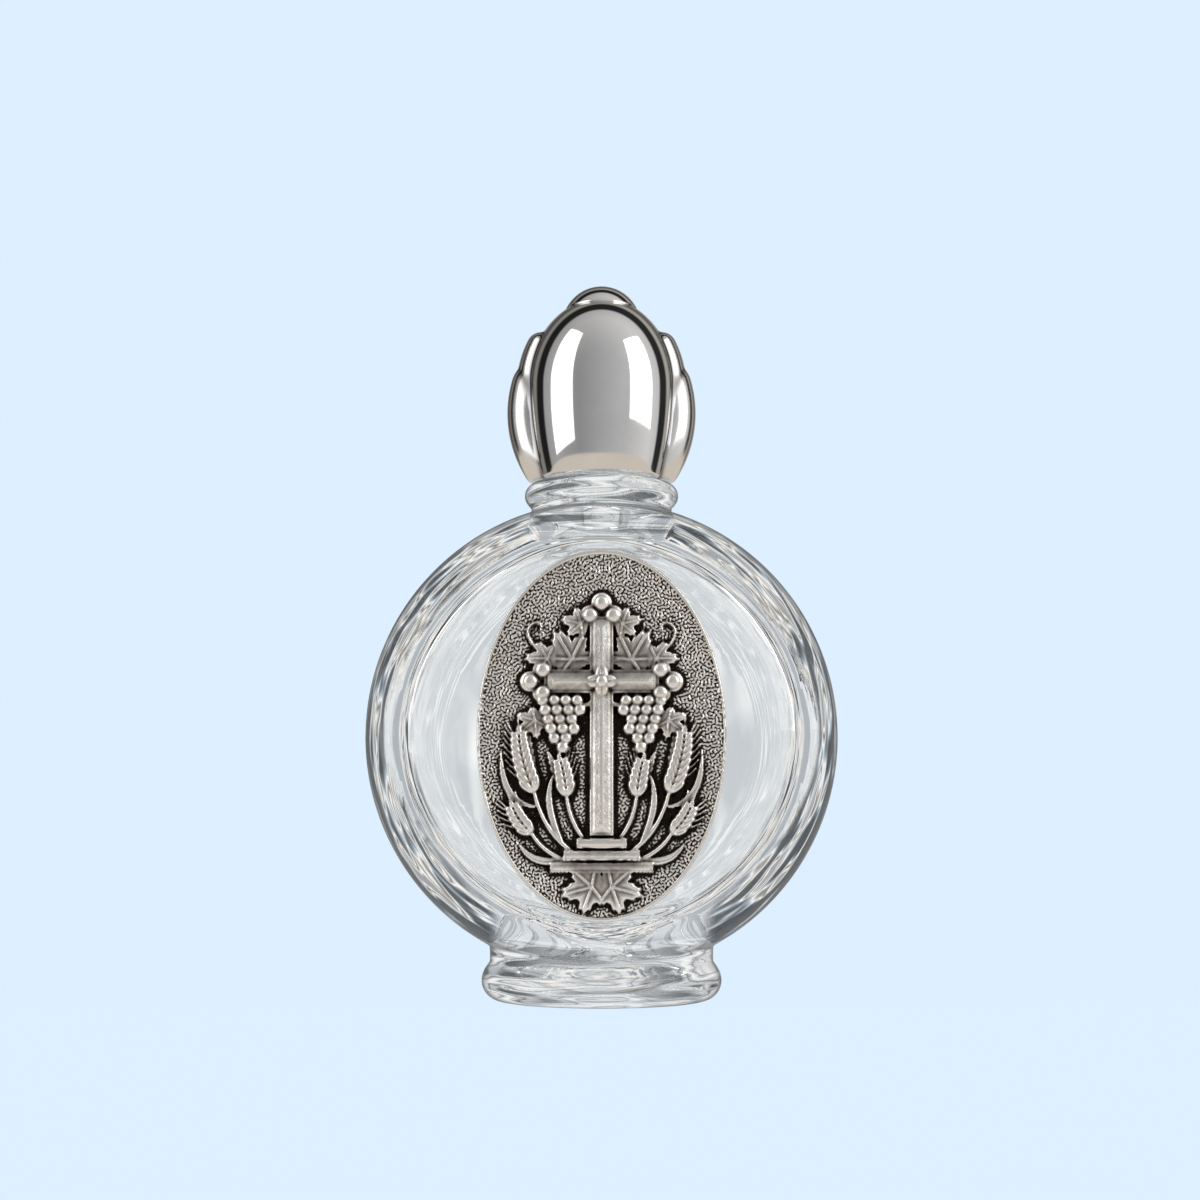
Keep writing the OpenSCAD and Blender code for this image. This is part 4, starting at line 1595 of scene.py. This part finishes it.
@dataclass
class Studio:
    """The pale set, in metres: camera, floor, surroundings and two soft boxes.

    A room is a ramp from straight behind the flask, at 0, to straight behind the camera, at 1.
    """

    paper: Triple = (0.730, 0.863, 1.0)
    paper_glow: float = 1.016
    paper_share: float = 0.97
    neutral: Triple = (0.665, 0.694, 0.725)
    table: Triple = (0.67, 0.61, 0.545)
    table_middle: Triple = (0.0, 0.14, 0.0)
    table_r: float = 0.325
    table_fade: float = 1.03
    table_warm: Pair = (0.03, 0.07)
    back: Triple = (0.35, 0.33, 0.305)
    dim: Triple = (0.12, 0.116, 0.112)
    strip: Triple = (0.34, 0.325, 0.305)
    dark: Triple = (0.02, 0.02, 0.021)
    front: Triple = (0.42, 0.425, 0.435)
    metal_room: Stops = (
        (0.0, back), (0.17, back), (0.205, dim), (0.275, dim), (0.30, strip), (0.335, strip), (0.36, dark),
        (0.435, dark), (0.455, (0.50, 0.50, 0.51)), (0.54, (0.58, 0.58, 0.585)), (0.78, front), (1.0, front))
    slope_from: Pair = (-0.55, 0.55)
    slope: Pair = (0.72, 1.22)
    deep: Triple = (0.03, 0.034, 0.042)
    glass_streaks: Stops = (
        (0.37, deep), (0.43, (0.22, 0.26, 0.31)), (0.465, neutral), (0.49, WHITE), (0.54, (1.0, 0.90, 0.76)),
        (0.565, neutral), (0.61, deep), (0.66, WHITE))
    streak_turns: float = 11.0
    streak_scale: float = 2.4
    window: Stops = ((0.49, neutral), (0.64, (0.97, 0.975, 0.98)))
    window_stretch: Triple = (58.0, 0.0, 13.0)
    window_edge: Stops = ((0.15, BLACK), (0.23, WHITE))
    eye: Triple = (-0.00015, -0.190, 0.0164)
    tilt: float = 4.7
    lens: float = 58.05
    shift: float = 0.0591

    def camera(self) -> None:
        """Sets the camera at the photograph's place, low in front of the flask."""
        data = bpy.data.cameras.new("front_camera")
        data.lens, data.sensor_width, data.shift_y = self.lens, 36.0, self.shift
        data.clip_start, data.clip_end = 0.01, 20.0
        camera = put_in_scene("front_camera", data)
        camera.location = self.eye
        camera.rotation_euler = (math.radians(90.0 + self.tilt), 0.0, 0.0)
        bpy.context.scene.camera = camera

    def floor_finish(self) -> Material:
        """Builds the floor's material: paper to the camera, a warm table to mirrors, and nothing through glass.

        Returns:
            The new material.
        """
        material, nodes, where = new_material("pale_floor")
        path = nodes.add("LightPath").outputs
        beyond = nodes.remap(nodes.vector("DISTANCE", where, self.table_middle), self.table_r,
                             self.table_fade * self.table_r)
        warm = nodes.remap(nodes.vector("LENGTH", where), *self.table_warm)
        through = nodes.out("BsdfTransparent")
        mirrored = nodes.blend(beyond, nodes.glow(nodes.mix(warm, self.neutral, self.table)), through)
        surface = nodes.blend(nodes.times(path[RayKind.CAMERA.value], self.paper_share),
                              nodes.out("BsdfDiffuse", {"Color": self.paper}), nodes.glow(self.paper, self.paper_glow))
        for kind, seen in ((RayKind.GLOSSY, mirrored), (RayKind.TRANSMISSION, through)):
            surface = nodes.blend(path[kind.value], surface, seen)
        nodes.add("OutputMaterial", {"Surface": surface})
        return material

    def floor(self) -> None:
        """Lays the pale floor, which keeps the flask's shadow."""
        mesh = bmesh.new()
        bmesh.ops.create_circle(mesh, cap_ends=True, segments=96, radius=3.0)
        data = bpy.data.meshes.new("pale_floor")
        mesh.to_mesh(data)
        mesh.free()
        data.materials.append(self.floor_finish())
        floor = put_in_scene("pale_floor", data)

    def metal_sees(self, nodes: Nodes, way: Sockets, round_back: Socket) -> Socket:
        """Paints the room that the metal mirrors, brighter towards the right.

        Args:
            nodes: The world's nodes.
            way: Direction of the ray.
            round_back: Angle from straight behind the flask, from 0 to 1.

        Returns:
            The room's colour.
        """
        slope = nodes.remap(way["X"], *self.slope_from, *self.slope)
        return nodes.out("VectorMath", {0: nodes.ramp(round_back, self.metal_room), "Scale": slope}, operation="SCALE")

    def glass_sees(self, nodes: Nodes, way: Sockets, round_back: Socket) -> Socket:
        """Paints the room that the glass bends: a soft window straight behind, and streaks round it.

        Args:
            nodes: The world's nodes.
            way: Direction of the ray.
            round_back: Angle from straight behind the flask, from 0 to 1.

        Returns:
            The room's colour.
        """
        flat = nodes.out("CombineXYZ", {"X": way["X"], "Z": way["Z"]})
        bent = nodes.out("CombineXYZ", {"Y": nodes.times(round_back, self.streak_turns)})
        place = nodes.vector("ADD", nodes.vector("NORMALIZE", flat), bent)
        streaks = nodes.ramp(nodes.noise(place, 2.0, self.streak_scale), self.glass_streaks)
        soft = nodes.noise(nodes.vector("MULTIPLY", flat, self.window_stretch), 1.0)
        return nodes.mix(nodes.ramp(round_back, self.window_edge), nodes.ramp(soft, self.window), streaks)

    def surroundings(self) -> None:
        """Paints the room, with a view of its own for the camera, the metal and the glass."""
        world = bpy.data.worlds.new("pale_studio")
        world.use_nodes = True
        nodes = Nodes(world.node_tree)
        way = nodes.add("SeparateXYZ", {0: nodes.add("TexCoord").outputs["Generated"]}).outputs
        round_back = nodes.math("DIVIDE", nodes.math("ARCCOSINE", way["Y"]), math.pi)
        path = nodes.add("LightPath").outputs
        room = nodes.mix(path[RayKind.TRANSMISSION.value], self.metal_sees(nodes, way, round_back),
                         self.glass_sees(nodes, way, round_back))
        colour = nodes.mix(path[RayKind.CAMERA.value], room, self.paper)
        nodes.add("OutputWorld", {"Surface": nodes.out("Background", {"Color": colour, "Strength": 1.0})})
        bpy.context.scene.world = world

    def soft_box(self, name: str, place: Vector, size: Pair, power: float) -> None:
        """Hangs a soft box that faces the flask.

        Args:
            name: Name of the lamp.
            place: Its middle.
            size: Its width and height.
            power: Its power in watts.
        """
        data = bpy.data.lights.new(name, "AREA")
        data.shape, data.size, data.size_y, data.energy = "RECTANGLE", size[0], size[1], power
        lamp = put_in_scene(name, data)
        lamp.location = place
        lamp.visible_camera = False
        lamp.rotation_mode = "QUATERNION"
        lamp.rotation_quaternion = Vector((place.x, place.y, 0.0)).to_track_quat("Z", "Y")

    def build(self) -> None:
        """Sets up the whole studio."""
        self.camera()
        self.floor()
        self.surroundings()
        self.soft_box("left_soft_box", Vector((-0.322, -0.161, 0.312)), (0.255, 0.636), 0.61)
        self.soft_box("right_soft_box", Vector((0.322, -0.161, 0.264)), (0.255, 0.436), 0.52)
        bpy.context.scene.view_settings.view_transform = "Standard"


def main() -> None:
    """Builds the studio and every piece of the flask."""
    logging.basicConfig(level=logging.INFO, format="%(name)s: %(message)s")
    Studio().build()
    glass = ClearGlass("clear_pressed_glass", grain=90.0, gloss_low=0.0, gloss_high=0.012)
    silver = AntiqueSilver("antique_silver", grain=5200.0, gloss_low=0.19, gloss_high=0.5)
    resin = SoftPlastic("cured_adhesive", grain=700.0, gloss_low=0.1, gloss_high=0.3, colour=(0.93, 0.92, 0.88),
                        shade=(0.85, 0.84, 0.8), texture=0.00001, clear=0.6)
    plating = BrightPlating("bright_plating", grain=420.0, gloss_low=0.035, gloss_high=0.075).make()
    plastic = SoftPlastic("white_insert_plastic", grain=2600.0, gloss_low=0.34, gloss_high=0.46, glow=0.45)
    foam = SoftPlastic("seal_foam", grain=5200.0, gloss_low=0.7, gloss_high=0.9, colour=(0.84, 0.84, 0.82),
                       shade=(0.80, 0.80, 0.78), texture=0.00001, glow=0.5)
    medallion, cap = Medallion(), ScrewCap()
    GlassFlask().build().finish(glass.make())
    medallion.casting().finish(silver.make())
    medallion.adhesive().finish(resin.make())
    cap.shell().finish(plating)
    cap.button().finish(plating)
    cap.insert().finish(plastic.make())
    cap.seal().finish(foam.make())


if __name__ == "__main__":
    main()
